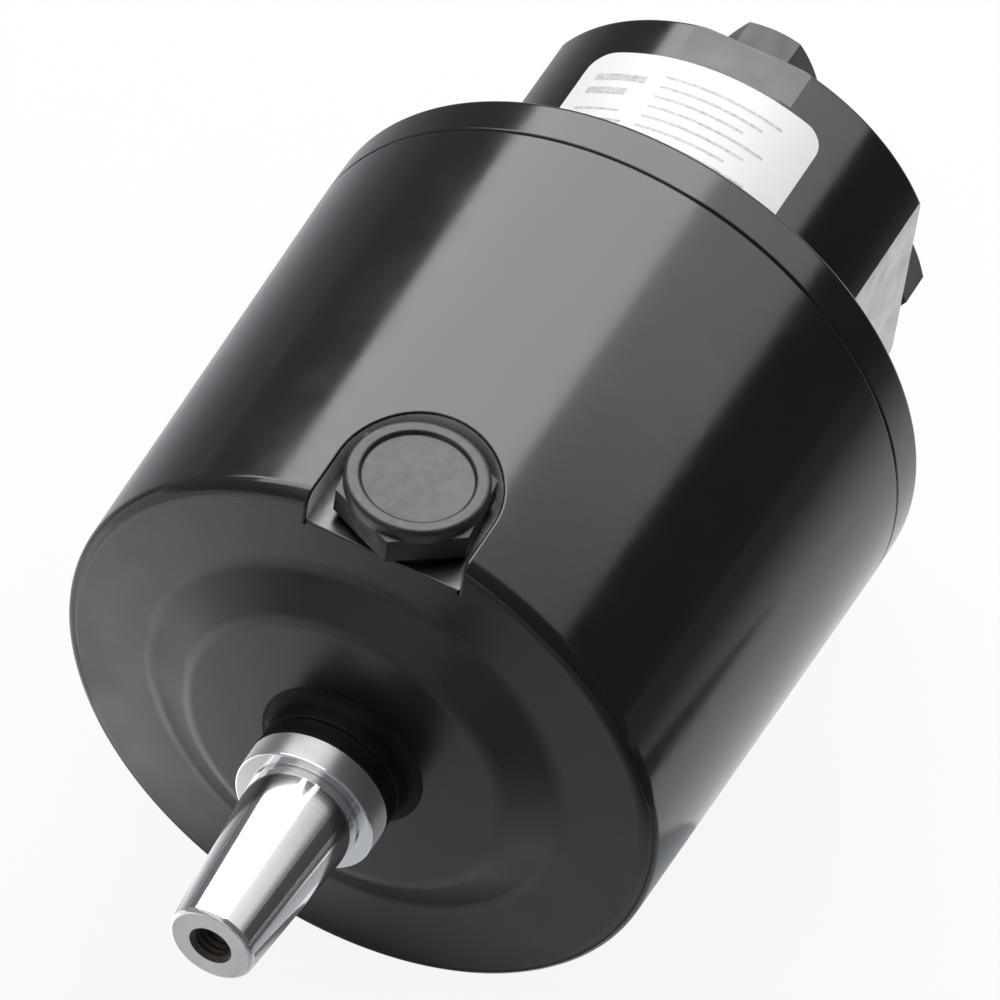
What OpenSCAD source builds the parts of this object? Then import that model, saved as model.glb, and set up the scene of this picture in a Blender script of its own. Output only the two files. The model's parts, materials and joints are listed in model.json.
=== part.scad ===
// Hydraulic steering helm pump: a hand-turned axial piston pump inside a round oil reservoir.
// Millimetres. The shaft lies along Y, with the steering wheel at its -Y end, and Z is up.
// The origin is the centre of the flange's rear face, which rests on the front of a dashboard.

/* [Housing] */
// Outer diameter at the front edge
housing_d_front = 104; // [103:0.5:106]
// Outer diameter at the flange
housing_d_rear = 108; // [107:0.5:116]
// Length from the front face to the seam
housing_len = 84.5; // [80:0.5:105]
// Side wall at the front edge
wall = 5; // [4.5:0.25:5.5]
// Front wall
front_wall = 8; // [7:0.25:10]
// Radius of the front edge
front_edge_r = 2.5; // [1:0.25:4]
// Width of the bevel on each side of the seam
seam_bevel = 0.5; // [0.3:0.1:1]

/* [Hub] */
// Diameter of the hub's flat front
hub_d = 56; // [48:1:60]
// Height of the hub ahead of the front face
hub_h = 4.4; // [3:0.2:5]
// Slope of the hub's side in degrees
hub_slope = 28; // [22:1:45]
// Radius of the hub's soft edges
hub_round = 6; // [2:0.5:8]
// Outer diameter of the neck
neck_d = 24.4; // [23.6:0.2:28]
// Length of the neck ahead of the front face
neck_len = 9; // [8.5:0.25:13]
// Radius between the neck and the hub
neck_fillet = 2; // [1:0.25:2.5]

/* [Filler] */
// Height of the pocket's floor above the shaft's axis
pocket_floor = 44.4; // [43.5:0.1:45.5]
// Width of the pocket
pocket_w = 26.8; // [26.2:0.2:30]
// Distance of the plug behind the front face
plug_setback = 10.7; // [9.5:0.1:14]
// Hexagon of the plug across its flats
plug_hex_af = 22; // [20:0.25:22.25]
// Height of the hexagon
plug_hex_h = 4.5; // [3:0.25:8]
// Diameter of the round cap on the hexagon
plug_cap_d = 23; // [20:0.5:24]
// Height of the cap
plug_cap_h = 2.4; // [1.5:0.1:4]
// Width of the cap's raised rim
plug_rim_w = 2.4; // [1:0.1:3]
// Depth of the cap's centre below the rim
plug_dish = 0.7; // [0.3:0.1:1]
// Diameter of the plug's thread
plug_thread_d = 16; // [14:0.5:17]
// Thickness of the plug's sealing ring
plug_seal_t = 1.5; // [1:0.1:2.5]
// Wall of the boss around the pocket, inside the housing
filler_boss_wall = 2.6; // [2:0.2:4]

/* [Flange and valve body] */
// Thickness of the flange ring that clamps the valve body to the housing
flange_t = 7.8; // [7.4:0.2:12]
// Bevel of the flange's rear edge
flange_bevel = 1; // [0.5:0.25:1.5]
// Diameter of the rear cylinder
valve_d = 75; // [73:0.5:78]
// Length of the rear cylinder
valve_len = 41.3; // [40:0.5:60]
// Distance of the side flats from the axis
side_flat = 32.6; // [32:0.1:34]
// Distance from the flange at which the side flats start
side_flat_start = 3; // [2:0.5:6]
// Height of the top pad above the axis
top_pad = 36; // [35.2:0.1:36.3]
// Length of the top pad
top_pad_len = 8.5; // [6:0.5:12]
// Height of the spigot that enters the housing
spigot_h = 4; // [3:0.25:6]
// Bevel of the rear cylinder's edge
rear_bevel = 0.8; // [0.4:0.1:1.5]
// Radius between the flange and the rear cylinder
root_fillet = 1.5; // [0.5:0.25:1.75]
// Circle of the dashboard screws
dash_pcd = 86; // [85:0.5:87]
// Tapped holes for the dashboard screws
dash_hole_d = 5; // [4:0.1:6]
// Depth of those holes
dash_hole_depth = 6.4; // [5:0.2:6.8]
// Number of dashboard screws, and of the screws that close the seam
screws = 4; // [3:1:4]
// Circle of the seam screws
seam_pcd = 92; // [91.5:0.5:93]
// Diameter of the seam screws
seam_screw_d = 5; // [4:0.5:5]
// Length of the seam screws under the head
seam_screw_len = 16; // [10:1:20]
// Head of the seam screws
seam_head_d = 8.5; // [7:0.25:8.5]
// Height of that head
seam_head_h = 5; // [3.5:0.25:5]
// Diameter of the bosses inside the housing
seam_boss_d = 11; // [9:0.5:11]
// Thickness of the housing's sealing cord
oring_cord = 2; // [1.6:0.1:2.2]
// Length of the land inside the housing that takes the spigot
seam_land = 6; // [4.5:0.5:8]

/* [Label] */
// Width of the label, measured straight across
label_w = 41; // [30:1:50]
// Length of the label along the axis
label_len = 30; // [20:1:31]
// Distance of the label from the flange
label_start = 2; // [1:0.5:3]
// Thickness of the label
label_t = 0.2; // [0.1:0.05:0.4]
// Radius of the label's rear corners
label_corner = 4; // [1:0.5:8]
// Turn of the label away from the top, in degrees
label_turn = 5; // [0:0.5:10]

/* [Ports] */
// Height of the upper port above the axis
port_top_z = 24; // [22:0.5:25]
// Sideways distance of the two lower ports
port_x = 22; // [20:0.5:23]
// Height of the two lower ports
port_z = -8; // [-10:0.5:-6]
// Diameter of the fittings' thread
port_thread_d = 13.2; // [11:0.1:14]
// Length of the fittings' thread
port_thread_len = 10; // [8:0.5:11]
// Hexagon of the fittings across its flats
port_hex_af = 15.9; // [15:0.1:17]
// Hexagon of the two lower fittings across its flats
port_side_hex_af = 19; // [17:0.1:20]
// Height of that hexagon
port_hex_h = 7.5; // [5:0.5:12]
// Tapped hole in each fitting
port_hole_d = 8.6; // [6:0.1:9]
// Depth of that hole
port_hole_depth = 12; // [8:0.5:14]
// Thickness of the fittings' sealing rings
port_seal_t = 1.6; // [1:0.1:2.4]
// Bore of the oil passages
passage_d = 4.6; // [3:0.2:5]

/* [Shaft] */
// Diameter in the seal, the bearing and the rotor
shaft_d = 20; // [18:0.1:20.6]
// Diameter of the collar
collar_d = 24.2; // [21.6:0.1:25]
// Length of the collar
collar_len = 5.1; // [4:0.1:10]
// Large end of the taper
taper_root_d = 19.1; // [17:0.1:20]
// Small end of the taper
taper_end_d = 14.5; // [13.5:0.1:16]
// Length of the taper
taper_len = 30.9; // [26:0.1:36]
// Tapped hole in the shaft's end
end_hole_d = 6.8; // [5:0.1:7.2]
// Depth of that hole
end_hole_depth = 14; // [8:0.5:15]
// Width of the half-moon key
key_w = 4; // [3:0.5:5]
// Diameter of the half-moon key
key_disc_d = 16; // [14:0.5:17]
// Depth of the key's seat below the taper's surface
key_depth = 4.4; // [3:0.2:4.6]
// Height of the key above the taper's surface
key_proud = 1.8; // [1:0.2:2.4]
// Thickness of the dust seal behind the collar
dust_seal_t = 3.5; // [2.5:0.1:5]
// Rear journal
journal_d = 14; // [12:0.5:15]
// Length of the rear bush
bush_len = 11; // [8:0.5:12]
// Wall of the rear bush
bush_wall = 2; // [1.5:0.25:3]

/* [Front bearing and seal] */
// Outer diameter of the ball bearing
bearing_d = 42; // [40:0.5:43]
// Width of the ball bearing
bearing_w = 12; // [10:0.5:13]
// Distance of the bearing behind the front face
bearing_set = 8; // [7.5:0.25:9]
// Number of balls
bearing_ball_count = 8; // [6:1:9]
// Diameter of the balls
bearing_ball_d = 6.3; // [5:0.1:6.6]
// Outer diameter of the oil seal
oil_seal_d = 30; // [28:0.5:31]
// Width of the oil seal
oil_seal_w = 7; // [5:0.5:7.5]
// Thickness of the shaft's circlip
shaft_clip_t = 1.2; // [1:0.1:1.6]
// Thickness of the bearing's circlip
bearing_clip_t = 1.75; // [1.2:0.05:2]
// Wall of the boss around the bearing
bearing_boss_wall = 5; // [4:0.25:5.5]

/* [Pump] */
// Angle of the inclined bearing, in degrees
swash_angle = 6; // [4:0.25:6.5]
// Number of pistons
pistons = 7; // [5:1:7]
// Diameter of the ball pistons
piston_d = 16; // [15:0.25:17]
// Circle of the ball pistons
piston_pcd = 52; // [50:0.5:53]
// Diameter of the rotor
rotor_d = 75; // [73:0.5:77]
// Length of the rotor
rotor_len = 30; // [29:0.5:36]
// Thickness of the rotor's rear wall
rotor_floor = 6; // [4:0.5:8]
// Width and height of the rotor's key
rotor_key_w = 6; // [4:0.5:7]
// Length of the rotor's key
rotor_key_len = 20; // [12:1:26]
// Wire of the piston springs
piston_wire = 1.1; // [0.8:0.1:1.4]
// Thickness of the port plate
port_plate_t = 4; // [3:0.25:6]
// Diameter of the port plate
port_plate_d = 68; // [67:0.5:69]
// Width of the kidney ports
kidney_w = 6; // [4:0.25:7]
// Opening of each kidney port, in degrees
kidney_angle = 116; // [90:2:126]
// Depth of the grooves in the piston side of the race
piston_groove = 0.8; // [0.5:0.1:1]
// Thickness of the rotating race
race_t = 5; // [4:0.25:6]
// Diameter of the thrust balls
thrust_ball_d = 6; // [5:0.1:6.5]
// Number of thrust balls
thrust_ball_count = 14; // [8:1:18]
// Depth of the grooves for the thrust balls
thrust_groove = 0.8; // [0.4:0.1:1]
// Thickness of the thrust bearing's cage
thrust_cage_t = 1.6; // [1:0.1:2.4]
// Thickness of the fixed thrust washer
seat_t = 4; // [3:0.25:5]
// Depth at which that washer sits in the swash block
seat_recess = 1.2; // [0.6:0.1:2]
// Wall of the swash block outside the washer
swash_rim = 2.6; // [1.5:0.1:3]
// Dowel pins of the swash block and the port plate
dowel_d = 4; // [3:0.25:4.5]
// Length of the dowel pins
dowel_len = 8; // [6:0.5:9]

/* [Lock valve] */
// Bore across the valve body
valve_bore_d = 16; // [14:0.5:17]
// Distance of that bore behind the flange's rear face
valve_bore_y = 18; // [17:0.5:19]
// Length of the spool without its stems
spool_len = 14; // [10:0.5:15]
// Length of each of the spool's stems
spool_stem_len = 2.2; // [1.5:0.1:3]
// Diameter of the spool's stems
spool_stem_d = 4.4; // [3:0.1:5]
// Free travel of the spool to each side
spool_travel = 1; // [0.5:0.1:1.5]
// Length of the valve seats
valve_seat_len = 4; // [3:0.25:5]
// Hole in the valve seats
valve_seat_d = 6.4; // [5.6:0.1:7]
// Opening travel of the poppets
poppet_travel = 1.8; // [1:0.1:2.2]
// Length of the poppets' hexagonal guide
poppet_guide_len = 4.4; // [3:0.2:5.5]
// Wire of the poppet springs
poppet_wire = 0.8; // [0.5:0.1:1]
// Length of the end plugs
end_plug_len = 9; // [8:0.25:10]
// Depth of the end plugs below the side flats
end_plug_set = 0.5; // [0.2:0.1:1]
// Hexagon socket of the end plugs across its flats
end_plug_socket = 8; // [5:0.5:9]
// Thickness of the end plugs' sealing cord
end_plug_cord = 2; // [1.4:0.1:2.4]

/* [Clearances] */
// Between pieces that are fixed to each other
seat_gap = 0.02; // [0.01:0.01:0.05]
// Between a shaft or spool and its bore
run_gap = 0.05; // [0.02:0.01:0.1]
// Between balls and their grooves
ball_gap = 0.15; // [0.1:0.01:0.2]
// Between flat faces that run on each other
face_gap = 0.1; // [0.05:0.01:0.2]
// Around heads and rims that only pass each other
pass_gap = 0.4; // [0.3:0.05:0.6]

/* [Hidden] */

$fn = 96;
cut = 1;
coarse_wire = 6;
steps_per_turn = 10;

paint = [0.05, 0.05, 0.06];
steel = [0.78, 0.79, 0.80];
bright = [0.90, 0.90, 0.91];
bronze = [0.72, 0.55, 0.33];
nitrile = [0.09, 0.09, 0.09];
blued = [0.30, 0.31, 0.34];
white = [0.93, 0.93, 0.92];
satin_plug = [0.16, 0.16, 0.17];

// Stations along the axis, from the seam to the front
seam_y = -flange_t;
face_y = seam_y - housing_len;
inner_y = face_y + front_wall;
neck_y = face_y - neck_len;
collar_rear_y = neck_y - dust_seal_t;
collar_front_y = collar_rear_y - collar_len;
shaft_end_y = collar_front_y - taper_len;
side_slope = (housing_d_rear - housing_d_front) / 2 / housing_len;
cavity_r = housing_d_front / 2 - wall;
neck_bore_r = shaft_d / 2 + pass_gap;

// Front bearing and seal
bearing_front_y = face_y + bearing_set;
bearing_rear_y = bearing_front_y + bearing_w;
bearing_mid_y = (bearing_front_y + bearing_rear_y) / 2;
clip_rear_y = bearing_rear_y + bearing_clip_t;
clip_land = 2;
boss_end_y = clip_rear_y + clip_land;
bearing_boss_r = bearing_d / 2 + bearing_boss_wall;
seal_room = 1.8;
seal_rear_y = bearing_front_y - shaft_clip_t - seal_room;
seal_front_y = seal_rear_y - oil_seal_w;
clip_depth = 0.9;
clip_reach = 1.8;
clip_opening = 5;
bore_clip_depth = 1.4;
bore_clip_reach = 2;
bore_clip_opening = 8;
ball_ring_r = (shaft_d + bearing_d) / 4;
bearing_groove = 0.9;
ring_land = (bearing_d - shaft_d) / 4 - bearing_ball_d / 2 + bearing_groove;
cage_wall = 1.6;
cage_side = 0.85;
cage_w = bearing_ball_d + 2 * cage_side;

// Pump, from the seam to the front
spigot_y = seam_y - spigot_h;
plate_front_y = spigot_y - port_plate_t;
rotor_rear_y = plate_front_y - face_gap;
rotor_front_y = rotor_rear_y - rotor_len;
piston_r = piston_d / 2;
ball_circle_r = piston_pcd / 2;
ball_throw = ball_circle_r * sin(swash_angle);
wobble = ball_circle_r * (1 - cos(swash_angle)) / 2;
bore_circle_r = ball_circle_r * (1 + cos(swash_angle)) / 2;
bore_r = piston_r + wobble + run_gap;
ball_plane_y = rotor_front_y + ball_throw + face_gap;
port_inset = 0.2;
rotor_port_r = kidney_w / 2 - port_inset;
spring_floor_y = rotor_rear_y - rotor_floor;
coil_inset = 3;
piston_turns = 5;
piston_coil_r = piston_r - coil_inset;
spring_start = sqrt(pow(piston_r, 2) - pow(piston_coil_r - piston_wire / 2, 2)) + piston_wire / 2;
key_share = 0.45;
rotor_key_top = shaft_d / 2 + rotor_key_w * key_share;
rotor_key_foot = rotor_key_top - rotor_key_w;

// Inclined bearing, measured along its own axis from the plane of the piston balls
race_rear = -(piston_r - piston_groove);
race_front = race_rear - race_t;
thrust_plane = race_front - (thrust_ball_d / 2 - thrust_groove);
seat_rear = thrust_plane - (thrust_ball_d / 2 - thrust_groove);
seat_front = seat_rear - seat_t;
groove_half = sqrt(pow(piston_r, 2) - pow(race_rear, 2));
race_lip = 1;
race_out_r = ball_circle_r + groove_half + race_lip;
race_in_r = ball_circle_r - groove_half - 2 * race_lip;
seat_out_r = race_out_r + race_lip;
swash_r = seat_out_r + swash_rim;
swash_step = 2;
swash_in_r = race_in_r - swash_step;
cage_lip = 1.2;
cage_out_r = ball_circle_r + thrust_ball_d / 2 + cage_lip;
cage_in_r = ball_circle_r - thrust_ball_d / 2 - cage_lip;
swash_dowel_r = (bearing_boss_r + pass_gap + swash_r) / 2;

// Flange, spigot and screws
flange_r = housing_d_rear / 2;
ring_r = max(flange_r, seam_pcd / 2 + seam_boss_d / 2);
land_r = seam_pcd / 2 - seam_boss_d / 2;
spigot_r = land_r - seat_gap;
clamp_step = 1;
foot_r = min(valve_d / 2 + root_fillet, land_r - clamp_step);
root_r = foot_r - valve_d / 2;
cord_room = 1.2;
oring_y = seam_y - spigot_h / 2;
oring_floor_r = spigot_r - oring_cord - seat_gap;
tap_run = 2;
head_socket = 0.47;
head_recess = seam_head_h + pass_gap;
screw_grip = flange_t - head_recess;
screw_turn = 360 / screws;
dash_turn = screw_turn / 2;
bush_r = journal_d / 2 + run_gap + bush_wall;
bush_run = 2;
journal_short = 0.5;
journal_end_y = spigot_y + bush_len - journal_short;
plate_dowel_r = bore_circle_r + (kidney_w + dowel_d) / 2;
plate_bore_r = journal_d / 2 + bush_wall;
dowel_cover = 0.5;
dowel_plate_depth = port_plate_t - dowel_cover;

// Ports on the rear face
port_places = [
    [0, port_top_z, port_hex_af], [port_x, port_z, port_side_hex_af], [-port_x, port_z, port_side_hex_af]
];
drill_run = 1;
hex_bevel = 0.9;
hex_inset = 0.15;
port_floor_y = valve_len - port_thread_len - drill_run;
vent_exit_z = (port_plate_d / 2 + oring_floor_r) / 2;
vent_wall = 0.6;
vent_d = min(passage_d, oring_floor_r - port_plate_d / 2 - 2 * vent_wall);

// Lock valve, measured from the middle of its bore
valve_bore_r = valve_bore_d / 2;
spool_half = spool_len / 2;
stem_end = spool_half + spool_stem_len;
spool_groove_w = 1;
spool_groove_depth = 0.6;
seat_in = stem_end + pass_gap;
seat_out = seat_in + valve_seat_len;
seat_cone = 1.6;
poppet_nose = stem_end + spool_travel + 2 * face_gap;
nose_gap = 0.6;
nose_r = valve_seat_d / 2 - nose_gap;
head_inset = 0.2;
poppet_head_r = valve_seat_d / 2 + seat_cone - head_inset;
cone_foot = seat_out - seat_cone + ball_gap - nose_gap;
cone_top = cone_foot + poppet_head_r - nose_r;
head_land = 1;
guide_start = cone_top + head_land;
guide_end = guide_start + poppet_guide_len;
bore_step = 0.8;
poppet_bore_r = nose_r + bore_step;
poppet_bore_floor = guide_start + bore_step;
plug_face = side_flat - end_plug_set;
plug_inner = plug_face - end_plug_len;
plug_pocket = 2.6;
plug_cord_x = plug_inner + plug_pocket;
plug_socket_depth = end_plug_len / 2;
coil_gap = 0.3;
poppet_turns = 6;
poppet_coil_r = poppet_bore_r - poppet_wire / 2 - coil_gap;
stop_r = poppet_coil_r - poppet_wire / 2 - coil_gap;
stop_x = poppet_bore_floor + poppet_travel + face_gap;
outlet_x = (guide_end + plug_inner) / 2;
feed_x = (spool_half + seat_in) / 2;

// Filler plug
seal_top_z = pocket_floor + plug_seal_t;
cap_z = seal_top_z + plug_hex_h;
plug_y = face_y + plug_setback;
filler_boss_r = pocket_w / 2 + filler_boss_wall;
boss_clear = 2.4;
filler_boss_floor = swash_r + boss_clear;
foot_inset = 1;
plug_foot_z = filler_boss_floor + foot_inset;
plug_hex_turn = 36;
plug_seal_inset = 0.5;
cap_bevel = 0.6;

// Shaft and its seals
neck_bevel = 0.5;
end_bevel = 0.8;
collar_bevel = 0.4;
relief_w = 0.6;
relief_depth = 0.4;
rib_h = 3;
rib_w = 5;
journal_step = 1;
key_setback = 2;
dust_flare = 0.1;
dust_inset = 0.2;
dust_skirt = 1.2;
dust_lip = 0.7;
dust_hollow = 1.4;
seal_case = 1.6;
seal_web = 1.8;
lip_root = 0.6;
lip_tip = 0.8;

// Points of an arc about a centre
function arc(centre, r, from, to, steps = 10) =
    [for (i = [0 : steps]) let (a = from + (to - from) * i / steps) centre + r * [cos(a), sin(a)]];

// Moves a shape that stands on Z to lie along Y
module along_y(y = 0) {
    translate([0, y, 0]) rotate([-90, 0, 0]) children();
}

// Turns a profile of radius and station into a round body along Y
module turned() {
    rotate([-90, 0, 0]) rotate_extrude() children();
}

module rod(r, y0, y1) {
    along_y(y0) cylinder(r = r, h = y1 - y0);
}

module pipe(r_out, r_in, y0, y1) {
    difference() {
        rod(r_out, y0, y1);
        rod(r_in, y0 - cut, y1 + cut);
    }
}

// Copies a shape around the Y axis; the first copy is on top
module around_y(count, start = 0) {
    for (i = [0 : count - 1]) rotate([0, start + i * 360 / count, 0]) children();
}

// Places a shape on the axis of the inclined bearing, with its zero in the plane of the piston balls
module inclined() {
    translate([0, ball_plane_y, 0]) rotate([swash_angle, 0, 0]) children();
}

// A round groove in a flat or round race
module ball_groove(ring_r, station, r) {
    turned() translate([ring_r, station]) circle(r = r);
}

// Lays a turned shape along X, for the lock valve; right is +1 and left is -1
module across_x(side) {
    translate([0, valve_bore_y, 0]) rotate([0, side * 90, 0]) children();
}

// A hexagon prism across its flats
module hexagon(af, h) {
    cylinder(r = af / sqrt(3), h = h, $fn = 6);
}

// A coil spring that stands on Z
module spring(r, wire, h, turns) {
    count = turns * steps_per_turn;
    ring = [for (j = [0 : coarse_wire - 1]) j * 360 / coarse_wire];
    points = [for (i = [0 : count], b = ring)
        let (a = 360 * i / steps_per_turn, q = r + wire / 2 * cos(b))
        [q * cos(a), q * sin(a), wire / 2 + (h - wire) * i / count + wire / 2 * sin(b)]];
    start_cap = [for (j = [0 : coarse_wire - 1]) j];
    end_cap = [for (j = [coarse_wire - 1 : -1 : 0]) count * coarse_wire + j];
    sides = [for (i = [0 : count - 1], j = [0 : coarse_wire - 1], half = [0, 1])
        let (k = (j + 1) % coarse_wire, p = i * coarse_wire, n = p + coarse_wire)
        half == 0 ? [p + j, n + j, n + k] : [p + j, n + k, p + k]];
    polyhedron(points, concat([start_cap], [end_cap], sides));
}

// An open circlip
module circlip(r_in, r_out, y, t, opening) {
    difference() {
        pipe(r_out, r_in, y, y + t);
        translate([-opening / 2, y - cut, -r_out - cut]) cube([opening, t + 2 * cut, r_out + cut]);
    }
}

// Outside and inside of the reservoir, without its bosses and holes
module housing_profile() {
    edge_x = housing_d_front / 2 + side_slope * front_edge_r - front_edge_r * sqrt(1 + pow(side_slope, 2));
    edge_turn = atan(side_slope);
    hub_y = face_y - hub_h;
    hub_foot_x = hub_d / 2 + hub_h / tan(hub_slope);
    round_reach = hub_round * tan(hub_slope / 2);
    clip_r = bearing_d / 2 + bore_clip_depth;
    polygon(concat(
        [[neck_bore_r, neck_y], [neck_d / 2 - neck_bevel, neck_y], [neck_d / 2, neck_y + neck_bevel]],
        arc([neck_d / 2 + neck_fillet, hub_y - neck_fillet], neck_fillet, 180, 90),
        arc([hub_d / 2 - round_reach, hub_y + hub_round], hub_round, -90, hub_slope - 90),
        arc([hub_foot_x + round_reach, face_y - hub_round], hub_round, 90 + hub_slope, 90),
        arc([edge_x, face_y + front_edge_r], front_edge_r, -90, -edge_turn),
        [[flange_r - side_slope * seam_bevel, seam_y - seam_bevel], [flange_r - seam_bevel, seam_y]],
        [[land_r, seam_y], [land_r, seam_y - seam_land], [cavity_r, seam_y - seam_land]],
        [[cavity_r, inner_y], [bearing_boss_r, inner_y], [bearing_boss_r, boss_end_y]],
        [[bearing_d / 2 + seat_gap, boss_end_y], [bearing_d / 2 + seat_gap, clip_rear_y]],
        [[clip_r, clip_rear_y], [clip_r, bearing_rear_y]],
        [[bearing_d / 2 + seat_gap, bearing_rear_y], [bearing_d / 2 + seat_gap, bearing_front_y]],
        [[oil_seal_d / 2 + seat_gap, bearing_front_y], [oil_seal_d / 2 + seat_gap, seal_front_y]],
        [[neck_bore_r, seal_front_y]]
    ));
}

// The flat pocket in the top of the housing, open at the front and round at the rear
module filler_pocket() {
    translate([0, plug_y, pocket_floor]) {
        cylinder(d = pocket_w, h = flange_r);
        translate([-pocket_w / 2, -plug_setback - cut, 0]) cube([pocket_w, plug_setback + cut, flange_r]);
    }
}

module front_housing() color(paint) difference() {
    union() {
        turned() housing_profile();
        around_y(screws) translate([0, 0, seam_pcd / 2]) rod(seam_boss_d / 2, inner_y - cut, seam_y);
        intersection() {
            translate([0, plug_y, filler_boss_floor]) cylinder(r = filler_boss_r, h = flange_r);
            rod(cavity_r + cut, face_y + front_edge_r, seam_y);
        }
    }
    filler_pocket();
    translate([0, plug_y, 0]) cylinder(d = plug_thread_d + 2 * seat_gap + 2 * run_gap, h = flange_r);
    around_y(screws) translate([0, 0, seam_pcd / 2])
        rod(seam_screw_d / 2 + seat_gap, seam_y - seam_screw_len + screw_grip - tap_run, seam_y + cut);
    around_y(2, 90) translate([0, 0, swash_dowel_r])
        rod(dowel_d / 2 + seat_gap, inner_y - dowel_len / 2, inner_y + cut);
}

// The sealing cord lies in the spigot's groove
module housing_oring() color(nitrile) turned()
    translate([spigot_r - oring_cord / 2, oring_y]) circle(d = oring_cord);

module housing_screws() color(steel) around_y(screws) translate([0, 0, seam_pcd / 2]) difference() {
    union() {
        rod(seam_head_d / 2, -head_recess, -head_recess + seam_head_h);
        rod(seam_screw_d / 2, -head_recess - seam_screw_len, -head_recess + cut);
    }
    along_y(-head_recess + seam_head_h / 2) hexagon(seam_head_d * head_socket, seam_head_h);
}

// The flange ring covers the heads of the seam screws, outside and inside
module flange_profile() {
    polygon([
        [foot_r + seat_gap, seam_y], [ring_r - seam_bevel, seam_y], [ring_r, seam_y + seam_bevel],
        [ring_r, -flange_bevel], [ring_r - flange_bevel, 0], [foot_r + seat_gap, 0]
    ]);
}

// The flange ring holds the valve body by the shoulder of its spigot
module mounting_flange() color(paint) difference() {
    turned() flange_profile();
    around_y(screws) translate([0, 0, seam_pcd / 2]) {
        rod(seam_screw_d / 2 + seat_gap, seam_y - cut, cut);
        rod(seam_head_d / 2 + pass_gap / 2, -head_recess, cut);
    }
    around_y(screws, dash_turn) translate([0, 0, dash_pcd / 2]) rod(dash_hole_d / 2, -dash_hole_depth, cut);
}

// Spigot, foot and rear cylinder as one turned shape
module valve_profile() {
    groove = oring_cord * cord_room / 2;
    root = root_r > 0 ? arc([foot_r, root_r], root_r, 270, 180) : [[foot_r, 0], [valve_d / 2, 0]];
    polygon(concat(
        [[0, spigot_y], [spigot_r, spigot_y], [spigot_r, oring_y - groove]],
        [[oring_floor_r, oring_y - groove], [oring_floor_r, oring_y + groove]],
        [[spigot_r, oring_y + groove], [spigot_r, seam_y], [foot_r, seam_y]],
        root,
        [[valve_d / 2, valve_len - rear_bevel], [valve_d / 2 - rear_bevel, valve_len], [0, valve_len]]
    ));
}

// A straight drilled passage between two points
module drilled(from, to, r) {
    way = to - from;
    translate(from) rotate([0, acos(way.z / norm(way)), atan2(way.y, way.x)]) cylinder(r = r, h = norm(way));
}

module valve_passages() {
    for (side = [-1, 1]) {
        feed_from = [side * bore_circle_r, spigot_y - cut, 0];
        drilled(feed_from, [side * feed_x, valve_bore_y, 0], passage_d / 2);
        translate([side * outlet_x, 0, port_z / 2]) rod(passage_d / 2, valve_bore_y, port_floor_y + cut);
    }
    drilled([0, port_floor_y + cut, port_top_z], [0, spigot_y - cut, vent_exit_z], vent_d / 2);
}

module valve_body() color(paint) difference() {
    turned() valve_profile();
    for (side = [-1, 1])
        translate([side * (side_flat + flange_r / 2), (side_flat_start + valve_len + cut) / 2, 0])
            cube([flange_r, valve_len + cut - side_flat_start, valve_d], center = true);
    translate([-valve_d / 2, valve_len - top_pad_len, top_pad]) cube([valve_d, top_pad_len + cut, valve_d]);
    rod(bush_r + seat_gap, spigot_y - cut, spigot_y + bush_len + bush_run);
    across_x(1) cylinder(r = valve_bore_r, h = valve_d, center = true);
    for (place = port_places) translate([place.x, 0, place.y])
        rod(port_thread_d / 2 + seat_gap, port_floor_y, valve_len + cut);
    valve_passages();
    around_y(2) translate([0, 0, plate_dowel_r])
        rod(dowel_d / 2 + seat_gap, spigot_y - cut, spigot_y + dowel_len - dowel_plate_depth);
}

// Outline of the label: square corners at the flange, round ones at the rear
module label_outline() {
    translate([-label_w / 2, 0]) square([label_w, label_len - label_corner]);
    translate([-label_w / 2 + label_corner, 0]) square([label_w - 2 * label_corner, label_len]);
    for (side = [-1, 1])
        translate([side * (label_w / 2 - label_corner), label_len - label_corner]) circle(r = label_corner);
}

module label() color(white) rotate([0, -label_turn, 0]) intersection() {
    pipe(valve_d / 2 + seat_gap + label_t, valve_d / 2 + seat_gap, label_start, label_start + label_len);
    translate([0, label_start, 0]) linear_extrude(valve_d) label_outline();
}

module port_fittings() color(blued) for (place = port_places) translate([place.x, valve_len, place.y]) {
    hex_af = place.z;
    corner_r = hex_af / sqrt(3) + hex_inset;
    difference() {
        union() {
            rod(port_thread_d / 2, -port_thread_len, port_seal_t + cut);
            along_y(port_seal_t) intersection() {
                hexagon(hex_af, port_hex_h);
                rotate_extrude() polygon([
                    [0, 0], [corner_r, 0], [corner_r, port_hex_h - hex_bevel],
                    [hex_af / 2 - hex_inset, port_hex_h], [0, port_hex_h]
                ]);
            }
        }
        rod(port_hole_d / 2, port_seal_t + port_hex_h - port_hole_depth, port_seal_t + port_hex_h + cut);
        rod(passage_d / 2, -port_thread_len - cut, port_seal_t);
    }
}

module port_seals() color(nitrile) for (place = port_places) translate([place.x, valve_len, place.y])
    pipe(port_hex_af / 2, port_thread_d / 2 + seat_gap, 0, port_seal_t);

module filler_plug_seal() color(nitrile) translate([0, plug_y, pocket_floor]) difference() {
    cylinder(d = plug_hex_af - 2 * plug_seal_inset, h = plug_seal_t);
    translate([0, 0, -cut]) cylinder(d = plug_thread_d + 2 * run_gap, h = plug_seal_t + 2 * cut);
}

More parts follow.
